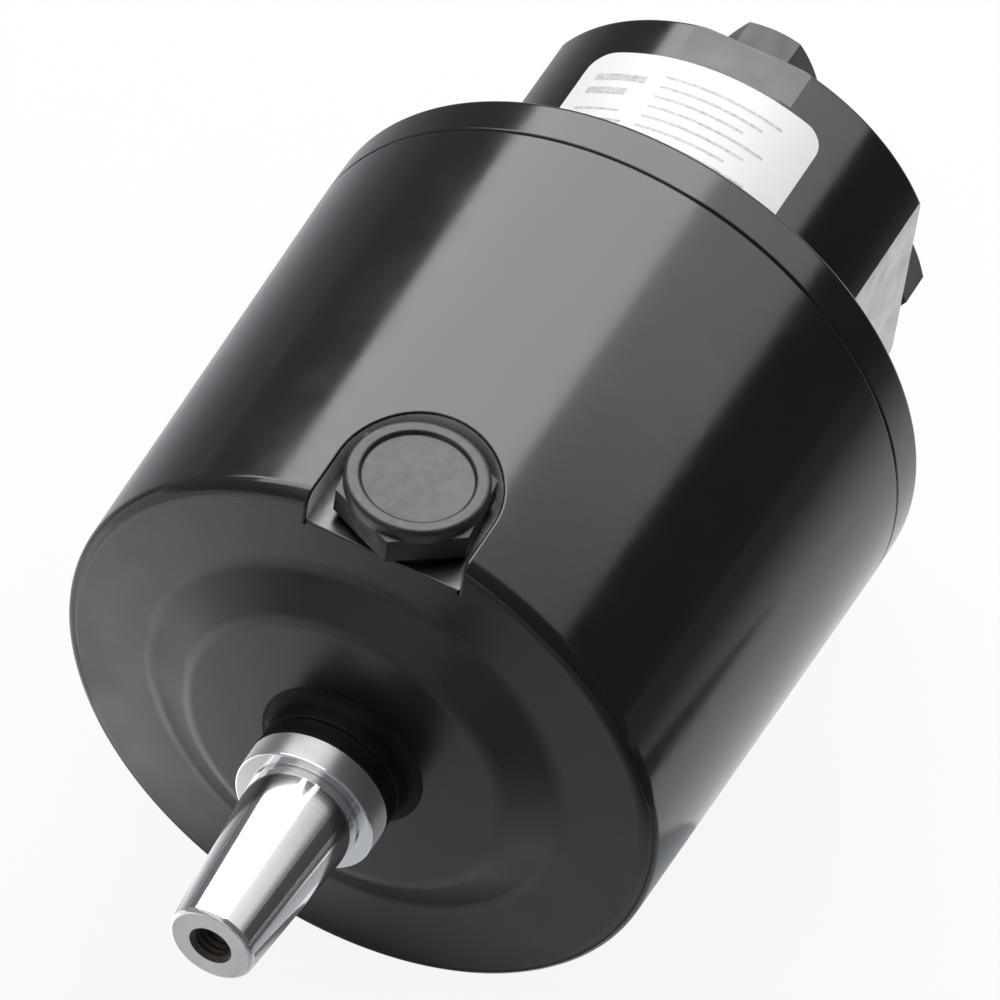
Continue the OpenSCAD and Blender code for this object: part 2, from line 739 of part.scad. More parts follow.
module filler_plug() color(satin_plug) translate([0, plug_y, 0]) difference() {
    union() {
        translate([0, 0, plug_foot_z]) cylinder(d = plug_thread_d, h = seal_top_z - plug_foot_z + cut);
        translate([0, 0, seal_top_z]) rotate([0, 0, plug_hex_turn]) hexagon(plug_hex_af, plug_hex_h);
        translate([0, 0, cap_z]) rotate_extrude() polygon([
            [0, -cut], [plug_cap_d / 2, -cut], [plug_cap_d / 2, plug_cap_h - cap_bevel],
            [plug_cap_d / 2 - cap_bevel, plug_cap_h], [0, plug_cap_h]
        ]);
    }
    translate([0, 0, cap_z + plug_cap_h - plug_dish])
        cylinder(d = plug_cap_d - 2 * plug_rim_w, h = plug_cap_h);
}

module steering_shaft() color(bright) difference() {
    shaft_r = shaft_d / 2;
    step_y = rotor_rear_y - journal_step;
    end_r = taper_end_d / 2;
    collar_r = collar_d / 2;
    root_r = taper_root_d / 2;
    clip_y = bearing_front_y - shaft_clip_t;
    turned() polygon([
        [0, shaft_end_y], [end_r - end_bevel, shaft_end_y], [end_r, shaft_end_y + end_bevel],
        [root_r, collar_front_y - relief_w], [root_r - relief_depth, collar_front_y - relief_w],
        [root_r - relief_depth, collar_front_y], [collar_r - collar_bevel, collar_front_y],
        [collar_r, collar_front_y + collar_bevel], [collar_r, collar_rear_y], [shaft_r, collar_rear_y],
        [shaft_r, clip_y], [shaft_r - clip_depth, clip_y], [shaft_r - clip_depth, bearing_front_y],
        [shaft_r, bearing_front_y], [shaft_r, bearing_rear_y], [shaft_r + rib_h, bearing_rear_y],
        [shaft_r + rib_h, bearing_rear_y + rib_w], [shaft_r, bearing_rear_y + rib_w], [shaft_r, step_y],
        [journal_d / 2, step_y], [journal_d / 2, journal_end_y], [0, journal_end_y]
    ]);
    rod(end_hole_d / 2, shaft_end_y - cut, shaft_end_y + end_hole_depth);
    wheel_key_blank(seat_gap);
    rotor_key_blank(seat_gap);
}

// The half-moon key lies in the taper's root, square to the taper's surface
key_y = collar_front_y - key_disc_d / 2 - key_setback;
key_r = taper_root_d / 2 - (taper_root_d - taper_end_d) / 2 * (collar_front_y - key_y) / taper_len;
key_centre_z = -(key_r - key_depth + key_disc_d / 2);

module wheel_key_blank(gap) {
    translate([-key_w / 2 - gap, key_y, key_centre_z]) rotate([0, 90, 0])
        cylinder(r = key_disc_d / 2 + gap, h = key_w + 2 * gap);
}

module wheel_key() color(steel) intersection() {
    wheel_key_blank(0);
    translate([-key_w, key_y - key_disc_d, -key_r - key_proud]) cube([2 * key_w, 2 * key_disc_d, key_r]);
}

// A rubber ring that turns with the shaft and runs on the neck with a lip
module dust_seal() color(nitrile) {
    rear = neck_y - face_gap;
    r = neck_d / 2 - dust_inset;
    turned() polygon([
        [shaft_d / 2 + seat_gap, collar_rear_y], [collar_d / 2 + dust_flare, collar_rear_y],
        [r, rear - dust_skirt], [r, rear], [r - dust_lip, rear],
        [r - dust_lip - dust_inset, rear - dust_hollow], [shaft_d / 2 + seat_gap, rear - dust_hollow]
    ]);
}

// A case with a web and a lip that bears on the shaft
module shaft_oil_seal() color(nitrile) {
    shaft_r = shaft_d / 2;
    case_r = oil_seal_d / 2;
    tip_y = seal_rear_y - seal_web;
    turned() polygon([
        [shaft_r + lip_root, seal_front_y], [case_r, seal_front_y], [case_r, seal_rear_y],
        [case_r - seal_case, seal_rear_y], [case_r - seal_case, seal_front_y + seal_web],
        [shaft_r + seal_web, seal_front_y + seal_web], [shaft_r + seal_web, tip_y + lip_tip],
        [shaft_r + lip_root, tip_y + lip_tip], [shaft_r + run_gap, tip_y],
        [shaft_r + lip_root, tip_y - lip_tip]
    ]);
}

module shaft_circlip() color(steel)
    circlip(shaft_d / 2 - clip_depth + seat_gap, shaft_d / 2 + clip_reach,
            bearing_front_y - shaft_clip_t, shaft_clip_t, clip_opening);

module bearing_circlip() color(steel)
    circlip(bearing_d / 2 - bore_clip_reach, bearing_d / 2 + bore_clip_depth - seat_gap,
            bearing_rear_y, bearing_clip_t, bore_clip_opening);

module bearing_inner_ring() color(bright) difference() {
    pipe(shaft_d / 2 + ring_land, shaft_d / 2 + seat_gap, bearing_front_y, bearing_rear_y);
    ball_groove(ball_ring_r, bearing_mid_y, bearing_ball_d / 2 + ball_gap);
}

module bearing_outer_ring() color(bright) difference() {
    pipe(bearing_d / 2, bearing_d / 2 - ring_land, bearing_front_y, bearing_rear_y);
    ball_groove(ball_ring_r, bearing_mid_y, bearing_ball_d / 2 + ball_gap);
}

module bearing_cage() color(bronze) difference() {
    pipe(ball_ring_r + cage_wall / 2, ball_ring_r - cage_wall / 2,
         bearing_mid_y - cage_w / 2, bearing_mid_y + cage_w / 2);
    around_y(bearing_ball_count) translate([0, bearing_mid_y, 0])
        cylinder(r = bearing_ball_d / 2 + seat_gap, h = bearing_d);
}

module bearing_balls() color(steel) around_y(bearing_ball_count)
    translate([0, bearing_mid_y, ball_ring_r]) sphere(d = bearing_ball_d);

module rotor() color(steel) difference() {
    pipe(rotor_d / 2, shaft_d / 2 + seat_gap, rotor_front_y, rotor_rear_y);
    around_y(pistons) translate([0, 0, bore_circle_r]) {
        rod(bore_r, rotor_front_y - cut, spring_floor_y);
        rod(rotor_port_r, spring_floor_y - cut, rotor_rear_y + cut);
    }
    translate([-rotor_key_w / 2 - seat_gap, rotor_front_y - cut, 0])
        cube([rotor_key_w + 2 * seat_gap, rotor_len + 2 * cut, rotor_key_top + face_gap]);
}

module rotor_key_blank(gap) {
    key_front_y = rotor_rear_y - rotor_len / 2 - rotor_key_len / 2;
    translate([-rotor_key_w / 2 - gap, key_front_y - gap, rotor_key_foot])
        cube([rotor_key_w + 2 * gap, rotor_key_len + 2 * gap, rotor_key_w]);
}

module rotor_key() color(blued) rotor_key_blank(0);

// The balls and the race turn together about the inclined axis
module piston_balls() color(bright) inclined() around_y(pistons)
    translate([0, 0, ball_circle_r]) sphere(d = piston_d);

// Each spring fills the space between its ball and the bottom of its bore
module piston_springs() color(blued) for (i = [0 : pistons - 1]) {
    turn = i * 360 / pistons;
    ball_y = ball_plane_y - ball_throw * cos(turn);
    start_y = ball_y + spring_start - piston_wire / 2 + face_gap;
    rotate([0, turn, 0]) translate([0, 0, bore_circle_r]) along_y(start_y)
        spring(piston_coil_r, piston_wire, spring_floor_y - start_y, piston_turns);
}

module thrust_race() color(steel) inclined() difference() {
    pipe(race_out_r, race_in_r, race_front, race_rear);
    ball_groove(ball_circle_r, 0, piston_r + seat_gap);
    ball_groove(ball_circle_r, thrust_plane, thrust_ball_d / 2 + ball_gap);
}

module thrust_cage() color(bronze) inclined() difference() {
    pipe(cage_out_r, cage_in_r, thrust_plane - thrust_cage_t / 2, thrust_plane + thrust_cage_t / 2);
    around_y(thrust_ball_count) translate([0, 0, ball_circle_r])
        rod(thrust_ball_d / 2 + seat_gap, thrust_plane - thrust_cage_t, thrust_plane + thrust_cage_t);
}

module thrust_balls() color(steel) inclined() around_y(thrust_ball_count)
    translate([0, thrust_plane, ball_circle_r]) sphere(d = thrust_ball_d);

module thrust_seat() color(steel) inclined() difference() {
    pipe(seat_out_r, race_in_r, seat_front, seat_rear);
    ball_groove(ball_circle_r, thrust_plane, thrust_ball_d / 2 + ball_gap);
}

// A wedge on the front wall, bored for the bearing's boss and recessed for the thrust washer
module swash_block() color(blued) difference() {
    rod(swash_r, inner_y, ball_plane_y);
    rod(swash_in_r, inner_y - cut, ball_plane_y + cut);
    rod(bearing_boss_r + pass_gap, inner_y - cut, boss_end_y + pass_gap);
    inclined() rod(swash_r * 2, seat_front + seat_recess, piston_d * 2);
    inclined() rod(seat_out_r + seat_gap, seat_front, piston_d);
    around_y(2, 90) translate([0, 0, swash_dowel_r])
        rod(dowel_d / 2 + seat_gap, inner_y - cut, inner_y + dowel_len / 2);
}

module swash_dowels() color(steel) around_y(2, 90) translate([0, 0, swash_dowel_r])
    rod(dowel_d / 2, inner_y - dowel_len / 2, inner_y + dowel_len / 2);

// One kidney port, as a ring segment about +X
module kidney() {
    reach = port_plate_d;
    intersection() {
        difference() {
            circle(r = bore_circle_r + kidney_w / 2);
            circle(r = bore_circle_r - kidney_w / 2);
        }
        polygon([[0, 0], reach * [cos(kidney_angle / 2), sin(kidney_angle / 2)], [reach, 0],
                 reach * [cos(kidney_angle / 2), -sin(kidney_angle / 2)]]);
    }
}

module port_plate() color(bronze) difference() {
    pipe(port_plate_d / 2, plate_bore_r, plate_front_y, spigot_y);
    for (side = [0, 1]) along_y(plate_front_y - cut) rotate([0, 0, side * 180])
        linear_extrude(port_plate_t + 2 * cut) kidney();
    around_y(2) translate([0, 0, plate_dowel_r])
        rod(dowel_d / 2 + seat_gap, spigot_y - dowel_plate_depth, spigot_y + cut);
}

module port_plate_dowels() color(steel) around_y(2) translate([0, 0, plate_dowel_r])
    rod(dowel_d / 2, spigot_y - dowel_plate_depth, spigot_y + dowel_len - dowel_plate_depth);

module rear_bush() color(bronze)
    pipe(bush_r, journal_d / 2 + run_gap, spigot_y, spigot_y + bush_len);

module shuttle_spool() color(steel) {
    across_x(1) difference() {
        union() {
            cylinder(r = valve_bore_r - run_gap, h = spool_len, center = true);
            cylinder(d = spool_stem_d, h = 2 * stem_end, center = true);
        }
        for (side = [-1, 1]) translate([0, 0, side * spool_len / 4]) difference() {
            cylinder(r = valve_bore_d, h = spool_groove_w, center = true);
            cylinder(r = valve_bore_r - spool_groove_depth, h = 2 * spool_groove_w, center = true);
        }
    }
}

// A poppet with a conical head and a hexagonal guide, closed on its seat
module poppet(side) {
    across_x(side) difference() {
        union() {
            rotate_extrude() polygon([
                [0, poppet_nose], [nose_r, poppet_nose], [nose_r, cone_foot],
                [poppet_head_r, cone_top], [poppet_head_r, guide_start + cut], [0, guide_start + cut]
            ]);
            translate([0, 0, guide_start])
                cylinder(r = valve_bore_r - run_gap, h = poppet_guide_len, $fn = 6);
        }
        translate([0, 0, poppet_bore_floor]) cylinder(r = poppet_bore_r, h = poppet_guide_len);
    }
}

module left_poppet() color(steel) poppet(-1);

module right_poppet() color(steel) poppet(1);

module poppet_spring(side) {
    across_x(side) translate([0, 0, poppet_bore_floor])
        spring(poppet_coil_r, poppet_wire, plug_inner + plug_pocket - poppet_bore_floor, poppet_turns);
}

module left_poppet_spring() color(blued) poppet_spring(-1);

module right_poppet_spring() color(blued) poppet_spring(1);

module valve_seats() color(bronze) for (side = [-1, 1]) across_x(side) rotate_extrude() polygon([
    [valve_seat_d / 2, seat_in], [valve_bore_r - seat_gap, seat_in], [valve_bore_r - seat_gap, seat_out],
    [valve_seat_d / 2 + seat_cone, seat_out], [valve_seat_d / 2, seat_out - seat_cone]
]);

// Each end plug carries a pin inside the spring, which stops the poppet at the end of its travel
module valve_end_plugs() color(blued) for (side = [-1, 1]) across_x(side) {
    difference() {
        translate([0, 0, plug_inner]) cylinder(r = valve_bore_r - seat_gap, h = end_plug_len);
        translate([0, 0, plug_inner - cut]) cylinder(r = poppet_bore_r, h = plug_pocket + cut);
        translate([0, 0, plug_face - plug_socket_depth]) hexagon(end_plug_socket, end_plug_len);
        plug_seal_groove();
    }
    translate([0, 0, stop_x]) cylinder(r = stop_r, h = plug_inner + plug_pocket - stop_x + cut);
}

// Groove for the sealing cord, around the spring's pocket

module plug_seal_groove() {
    translate([0, 0, plug_cord_x]) difference() {
        cylinder(r = valve_bore_d, h = end_plug_cord * cord_room, center = true);
        cylinder(r = valve_bore_r - end_plug_cord, h = end_plug_cord * cord_room + cut, center = true);
    }
}

module valve_plug_seals() color(nitrile) for (side = [-1, 1]) across_x(side) rotate_extrude()
    translate([valve_bore_r - end_plug_cord / 2, plug_cord_x]) circle(d = end_plug_cord - 2 * seat_gap);

front_housing();
mounting_flange();
valve_body();
housing_oring();
housing_screws();
filler_plug();
filler_plug_seal();
label();
port_fittings();
port_seals();
steering_shaft();
wheel_key();
dust_seal();
shaft_oil_seal();
shaft_circlip();
bearing_inner_ring();
bearing_outer_ring();
bearing_cage();
bearing_balls();
bearing_circlip();
rotor();
rotor_key();
piston_balls();
piston_springs();
thrust_race();
thrust_cage();
thrust_balls();
thrust_seat();
swash_block();
swash_dowels();
port_plate();
port_plate_dowels();
rear_bush();
shuttle_spool();
left_poppet();
right_poppet();
left_poppet_spring();
right_poppet_spring();
valve_seats();
valve_end_plugs();
valve_plug_seals();
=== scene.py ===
import json
import math

import bpy
import bmesh
from mathutils import Matrix, Vector

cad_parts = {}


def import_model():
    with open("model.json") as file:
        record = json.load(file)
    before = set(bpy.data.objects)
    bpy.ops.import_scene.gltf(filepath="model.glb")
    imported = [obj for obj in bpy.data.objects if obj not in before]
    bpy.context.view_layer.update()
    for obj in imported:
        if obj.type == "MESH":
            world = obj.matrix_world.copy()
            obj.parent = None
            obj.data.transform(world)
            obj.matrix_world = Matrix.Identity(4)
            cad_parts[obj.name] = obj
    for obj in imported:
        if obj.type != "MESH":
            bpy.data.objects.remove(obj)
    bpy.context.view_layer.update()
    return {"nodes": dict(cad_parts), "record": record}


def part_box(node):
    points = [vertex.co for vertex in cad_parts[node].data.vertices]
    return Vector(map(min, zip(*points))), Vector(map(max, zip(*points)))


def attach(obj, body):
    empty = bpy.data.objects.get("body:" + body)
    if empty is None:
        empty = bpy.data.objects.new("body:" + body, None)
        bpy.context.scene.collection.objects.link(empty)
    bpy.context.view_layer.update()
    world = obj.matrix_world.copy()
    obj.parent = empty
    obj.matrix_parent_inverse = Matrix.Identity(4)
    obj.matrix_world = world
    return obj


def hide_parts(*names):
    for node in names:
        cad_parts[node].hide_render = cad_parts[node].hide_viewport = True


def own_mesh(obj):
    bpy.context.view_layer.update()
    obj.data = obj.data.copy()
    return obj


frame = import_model()
nodes = frame["nodes"]
MM = 0.001
SLOT_COUNT = 5

# Stations along the shaft and radii, in millimetres, as in the solids
HOUSING_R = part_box("front_housing")[1].x / MM
HOUSING_TAPER = 2
FRONT_R = HOUSING_R - HOUSING_TAPER
CAVITY_R = 47
SEAM_Y = -7.8
INNER_Y = -84.3
FACE_Y = -92.3
HUB_Y = FACE_Y - 4.4
HUB_R = 28
HUB_SLOPE = math.radians(28)
HUB_ROUND = 6
NECK_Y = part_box("front_housing")[0].y / MM
NECK_R = 12.2
NECK_FILLET = 2
SCREWS = 4
SCREW_CIRCLE = 46
SCREW_HOLE_R = 2.52
DASH_CIRCLE = 43

# Shaft
SHAFT_END_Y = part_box("steering_shaft")[0].y / MM
SHAFT_R = 10
TAPER_LEN = 30.9
TAPER_ROOT_R = 9.55
TAPER_END_R = 7.25
COLLAR_Y = SHAFT_END_Y + TAPER_LEN
COLLAR_R = 12.1
COLLAR_REAR_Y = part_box("dust_seal")[0].y / MM
BEARING_REAR_Y = -72.3

# Rear cylinder: each port has its place (x, z) and its hexagon's size across flats
VALVE_R = 37.5
VALVE_END_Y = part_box("valve_body")[1].y / MM
SPIGOT_Y = -11.8
SPIGOT_R = 40.48
GROOVE_R = 38.46
SIDE_FLAT = 32.6
TOP_PAD = 36.0
LOCK_BORE_Y = 18
PORTS = ((0, 24, 15.9), (22, -8, 19), (-22, -8, 19))
FITTING_H = 9.1

# Label, in arc length round the rear cylinder
LABEL_TURN = math.radians(5)
LABEL_HALF_W = 21.7
LABEL_START_Y = 2
LABEL_END_Y = 32
LABEL_CORNER = 4
LABEL_T = 0.2
LABEL_R = VALVE_R + 0.02

# Filler plug and its pocket
PLUG_Y = (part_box("filler_plug")[0].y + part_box("filler_plug")[1].y) / 2 / MM
PLUG_TOP_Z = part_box("filler_plug")[1].z / MM
PLUG_AF = 22
PLUG_TURN = 36
POCKET_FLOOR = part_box("filler_plug_seal")[0].z / MM
POCKET_R = 13.4
RIM_ROUND = 0.45

# Studio, in metres: the panels' centre on the shaft's axis, and how far the floor lies under the part
PANEL_Y = -0.045
FLOOR_DROP = 0.0004


# Profiles: corner points (radius, station, corner radius) become spans with exact normals

def profile(corners, closed=True, steps=6):
    """Spans (p0, p1, n0, n1) of a turned outline, with each corner rounded by its own radius."""
    pts = [Vector((c[0], c[1])) for c in corners]
    count = len(pts)
    area = sum(a.x * b.y - b.x * a.y for a, b in zip(pts, pts[1:] + pts[:1]))
    sign = 1 if area > 0 else -1
    last = count if closed else count - 1
    normals = []
    for i in range(count):
        d = (pts[(i + 1) % count] - pts[i]).normalized()
        normals.append(Vector((d.y, -d.x)) * sign)
    starts, ends, arcs = {}, {}, {}
    for i in range(count):
        r = corners[i][2] if len(corners[i]) > 2 else 0
        a, b = normals[i - 1], normals[i]
        if r <= 0 or (not closed and i in (0, count - 1)):
            starts[i], ends[i], arcs[i] = pts[i], pts[i], []
            continue
        turn = math.atan2(a.x * b.y - a.y * b.x, a.dot(b))
        convex = turn * sign > 0
        reach = r * math.tan(abs(turn) / 2)
        d_in = (pts[i] - pts[i - 1]).normalized()
        first = pts[i] - d_in * reach
        centre = first - a * r if convex else first + a * r
        line = []
        n_steps = max(2, round(steps * abs(turn) / (math.pi / 2))) if abs(turn) > 0.3 else 3
        for k in range(n_steps + 1):
            t = turn * k / n_steps
            n = Vector((a.x * math.cos(t) - a.y * math.sin(t), a.x * math.sin(t) + a.y * math.cos(t)))
            line.append((centre + n * r if convex else centre - n * r, n))
        ends[i], starts[i] = line[0][0], line[-1][0]
        arcs[i] = [(line[k][0], line[k + 1][0], line[k][1], line[k + 1][1]) for k in range(n_steps)]
    spans = []
    for i in range(last):
        spans += arcs[i] if closed or i > 0 else []
        j = (i + 1) % count
        if (ends[j] - starts[i]).length > 1e-6:
            spans.append((starts[i], ends[j], normals[i], normals[i]))
    return spans


def lathe(name, spans, segments=192):
    """A closed body of revolution about Y, from the spans of a closed or axis-to-axis outline."""
    bm = bmesh.new()
    line = [s[0] for s in spans]
    loop = (spans[-1][1] - spans[0][0]).length < 1e-6
    if not loop:
        line.append(spans[-1][1])
    rings = []
    for p in line:
        if p.x < 1e-6:
            rings.append([bm.verts.new((0, p.y * MM, 0))])
            continue
        turns = [2 * math.pi * k / segments for k in range(segments)]
        r = p.x * MM
        rings.append([bm.verts.new((r * math.sin(t), p.y * MM, r * math.cos(t))) for t in turns])
    pairs = [(i, i + 1) for i in range(len(rings) - 1)] + ([(len(rings) - 1, 0)] if loop else [])
    for i, j in pairs:
        a, b = rings[i], rings[j]
        for k in range(segments):
            m = (k + 1) % segments
            if len(a) == 1 and len(b) == 1:
                continue
            if len(a) == 1:
                bm.faces.new((a[0], b[m], b[k]))
            elif len(b) == 1:
                bm.faces.new((a[k], a[m], b[0]))
            else:
                bm.faces.new((a[k], a[m], b[m], b[k]))
    bmesh.ops.recalc_face_normals(bm, faces=bm.faces)
    return to_object(name, bm)


def to_object(name, bm):
    mesh = bpy.data.meshes.new(name)
    bm.to_mesh(mesh)
    bm.free()
    for _ in range(SLOT_COUNT):
        mesh.materials.append(None)
    obj = bpy.data.objects.new(name, mesh)
    bpy.context.scene.collection.objects.link(obj)
    return obj


def set_index(obj, index):
    for face in obj.data.polygons:
        face.material_index = index
    return obj


def block(low, high, index=0):
    """A box between two corners, in millimetres."""
    bm = bmesh.new()
    bmesh.ops.create_cube(bm, size=1)
    size = Vector(high) - Vector(low)
    mid = (Vector(high) + Vector(low)) / 2
    for v in bm.verts:
        v.co = Vector((v.co.x * size.x + mid.x, v.co.y * size.y + mid.y, v.co.z * size.z + mid.z)) * MM
    bmesh.ops.recalc_face_normals(bm, faces=bm.faces)
    return set_index(to_object("cutter", bm), index)


def cylinder(start, end, r, segments=64, index=0):
    """A cylinder between two points, in millimetres."""
    start, end = Vector(start) * MM, Vector(end) * MM
    bm = bmesh.new()
    bmesh.ops.create_cone(bm, cap_ends=True, segments=segments, radius1=r * MM, radius2=r * MM,
                          depth=(end - start).length)
    turn = (end - start).to_track_quat("Z", "Y").to_matrix().to_4x4()
    bmesh.ops.transform(bm, matrix=Matrix.Translation((start + end) / 2) @ turn, verts=bm.verts)
    bmesh.ops.recalc_face_normals(bm, faces=bm.faces)
    return set_index(to_object("cutter", bm), index)


def extrude(outline, z0, z1, foot_index=0, side_index=0):
    """A prism on a flat outline of (x, y) points, in millimetres, with materials for its foot and sides."""
    bm = bmesh.new()
    low = [bm.verts.new((x * MM, y * MM, z0 * MM)) for x, y in outline]
    high = [bm.verts.new((x * MM, y * MM, z1 * MM)) for x, y in outline]
    count = len(outline)
    bm.faces.new(low).material_index = foot_index
    bm.faces.new(high)
    for i in range(count):
        j = (i + 1) % count
        bm.faces.new((low[i], low[j], high[j], high[i])).material_index = side_index
    bmesh.ops.recalc_face_normals(bm, faces=bm.faces)
    return to_object("cutter", bm)


def evaluated_mesh(obj):
    bpy.context.view_layer.update()
    return bpy.data.meshes.new_from_object(obj.evaluated_get(bpy.context.evaluated_depsgraph_get()))


def boolean(obj, tools, operation="DIFFERENCE"):
    """Cuts, joins or intersects with each tool in turn. The tools are used up."""
    for tool in tools:
        mod = obj.modifiers.new("cut", "BOOLEAN")
        mod.operation = operation
        mod.solver = "EXACT"
        mod.object = tool
    done = evaluated_mesh(obj)
    obj.modifiers.clear()
    obj.data = done
    for tool in tools:
        bpy.data.objects.remove(tool)
    return obj


def moved(obj, place):
    for v in obj.data.vertices:
        v.co += Vector(place) * MM
    return obj


def fix_normals(obj):
    bm = bmesh.new()
    bm.from_mesh(obj.data)
    bmesh.ops.recalc_face_normals(bm, faces=bm.faces)
    bm.to_mesh(obj.data)
    bm.free()


def edge_round(path, r, steps=4, reach=0.5, margin=0.12):
    """A cutter that rounds an outer edge. path holds (point, outer normal, wall normal), in millimetres."""
    bm = bmesh.new()
    rings = []
    for point, outer, wall in path:
        centre = point - (outer + wall) * (r / (1 + outer.dot(wall)))
        ring = [centre + outer * (r + margin)]
        for k in range(steps + 1):
            n = outer.slerp(wall, k / steps)
            ring.append(centre + n * r)
        ring.append(centre + wall * (r + margin))
        ring.append(point + (outer + wall) * reach)
        rings.append([bm.verts.new(p * MM) for p in ring])
    size = len(rings[0])
    for a, b in zip(rings, rings[1:]):
        for k in range(size):
            m = (k + 1) % size
            bm.faces.new((a[k], a[m], b[m], b[k]))
    bm.faces.new(rings[0])
    bm.faces.new(rings[-1])
    bmesh.ops.recalc_face_normals(bm, faces=bm.faces)
    return to_object("cutter", bm)


def shade(obj, spans=None, angle=32):
    """Smooth shading with sharp edges by angle. Turned faces get the exact normal of their span."""
    mesh = obj.data
    bm = bmesh.new()
    bm.from_mesh(mesh)
    for face in bm.faces:
        face.smooth = True
    for edge in bm.edges:
        edge.smooth = len(edge.link_faces) == 2 and edge.calc_face_angle(0) < math.radians(angle)
    bm.to_mesh(mesh)
    bm.free()
    if not spans:
        return obj
    normals = [Vector(n.vector) for n in mesh.corner_normals]
    for face in mesh.polygons:
        c, n = face.center / MM, face.normal
        r = math.hypot(c.x, c.z)
        if r < 1e-3:
            continue
        side = Vector((c.x / r, 0, c.z / r))
        flat = Vector((n.dot(side), n.y))
        if flat.length < 0.9995:
            continue
        best, found = 0.06, None
        for p0, p1, n0, n1 in spans:
            d = p1 - p0
            t = max(0.0, min(1.0, (Vector((r, c.y)) - p0).dot(d) / d.length_squared))
            gap = (p0 + d * t - Vector((r, c.y))).length
            if gap < best and flat.dot((n0 + n1).normalized()) > 0.97:
                best, found = gap, (p0, d, n0, n1)
        if not found:
            continue
        p0, d, n0, n1 = found
        for loop in face.loop_indices:
            v = mesh.vertices[mesh.loops[loop].vertex_index].co / MM
            q = math.hypot(v.x, v.z)
            t = max(0.0, min(1.0, (Vector((q, v.y)) - p0).dot(d) / d.length_squared))
            m = n0.lerp(n1, t).normalized()
            e = Vector((v.x / q, 0, v.z / q)) if q > 1e-3 else side
            normals[loop] = Vector((e.x * m.x, m.y, e.z * m.x)).normalized()
    mesh.normals_split_custom_set(normals)
    return obj


# Materials: each varies in colour and roughness between the usual low and high values of a noise

NOISE_LOW, NOISE_HIGH = 0.3, 0.7


def links(mat):
    tree = mat.node_tree
    return tree.nodes, tree.links, tree.nodes["Principled BSDF"]


def material(name, colour, rough, metallic=0.0, ior=1.5):
    mat = bpy.data.materials.new(name)
    mat.use_nodes = True
    shader = mat.node_tree.nodes["Principled BSDF"]
    shader.inputs["Base Color"].default_value = (*colour, 1)
    shader.inputs["Roughness"].default_value = rough
    shader.inputs["Metallic"].default_value = metallic
    shader.inputs["IOR"].default_value = ior
    return mat


def noise(mat, scale, detail=3.0, stretch=(1, 1, 1)):
    """The value of a noise in the piece's own coordinates, in features per metre."""
    tree, link, _ = links(mat)
    coords = tree.new("ShaderNodeTexCoord")
    place = tree.new("ShaderNodeMapping")
    place.inputs["Scale"].default_value = stretch
    tex = tree.new("ShaderNodeTexNoise")
    tex.inputs["Scale"].default_value = scale
    tex.inputs["Detail"].default_value = detail
    link.new(coords.outputs["Object"], place.inputs["Vector"])
    link.new(place.outputs["Vector"], tex.inputs["Vector"])
    return tex.outputs["Fac"]


def vary_rough(mat, value, low, high):
    tree, link, shader = links(mat)
    node = tree.new("ShaderNodeMapRange")
    node.inputs["From Min"].default_value = NOISE_LOW
    node.inputs["From Max"].default_value = NOISE_HIGH
    node.inputs["To Min"].default_value = low
    node.inputs["To Max"].default_value = high
    link.new(value, node.inputs["Value"])
    link.new(node.outputs["Result"], shader.inputs["Roughness"])


def vary_colour(mat, value, low, high):
    tree, link, shader = links(mat)
    ramp = tree.new("ShaderNodeValToRGB")
    ramp.color_ramp.elements[0].position = NOISE_LOW
    ramp.color_ramp.elements[0].color = (*low, 1)
    ramp.color_ramp.elements[1].position = NOISE_HIGH
    ramp.color_ramp.elements[1].color = (*high, 1)
    link.new(value, ramp.inputs["Fac"])
    link.new(ramp.outputs["Color"], shader.inputs["Base Color"])


def bump(mat, value, height):
    """A bump of that height in millimetres."""
    tree, link, shader = links(mat)
    node = tree.new("ShaderNodeBump")
    node.inputs["Strength"].default_value = 1.0
    node.inputs["Distance"].default_value = height * MM
    link.new(value, node.inputs["Height"])
    link.new(node.outputs["Normal"], shader.inputs["Normal"])


def black_paint(name, rough):
    mat = material(name, (0.01, 0.01, 0.011), rough, ior=1.5)
    vary_colour(mat, noise(mat, 35), (0.0085, 0.0085, 0.0092), (0.011, 0.011, 0.012))
    vary_rough(mat, noise(mat, 120, 4), rough * 0.8, rough * 1.12)
    bump(mat, noise(mat, 420, 2), 0.006)
    return mat


def turned_steel(name, colour, rough, lines, height):
    """Metal with fine turning marks around the shaft's axis."""
    mat = material(name, colour, rough, 1.0)
    marks = noise(mat, lines, 2, (0.02, 1, 0.02))
    vary_rough(mat, noise(mat, 90, 4), rough * 0.8, rough * 1.3)
    vary_colour(mat, noise(mat, 60, 3), tuple(c * 0.94 for c in colour), colour)
    bump(mat, marks, height)
    return mat


def lathe_faced(name, colour, rough):
    """Metal faced on a lathe: fine grooves run round the shaft's axis and spread light across them."""
    mat = turned_steel(name, colour, rough, 900, 0.004)
    tree, link, shader = links(mat)
    tangent = tree.new("ShaderNodeTangent")
    tangent.direction_type = "RADIAL"
    tangent.axis = "Y"
    link.new(tangent.outputs["Tangent"], shader.inputs["Tangent"])
    shader.inputs["Anisotropic"].default_value = 0.95
    shader.inputs["Anisotropic Rotation"].default_value = 0.25
    return mat


def plain_metal(name, colour, rough, grain=700, height=0.006, metallic=1.0):
    mat = material(name, colour, rough, metallic)
    vary_rough(mat, noise(mat, 260, 4), rough * 0.8, rough * 1.25)
    vary_colour(mat, noise(mat, 110, 4), tuple(c * 0.88 for c in colour), colour)
    bump(mat, noise(mat, grain, 3), height)
    return mat


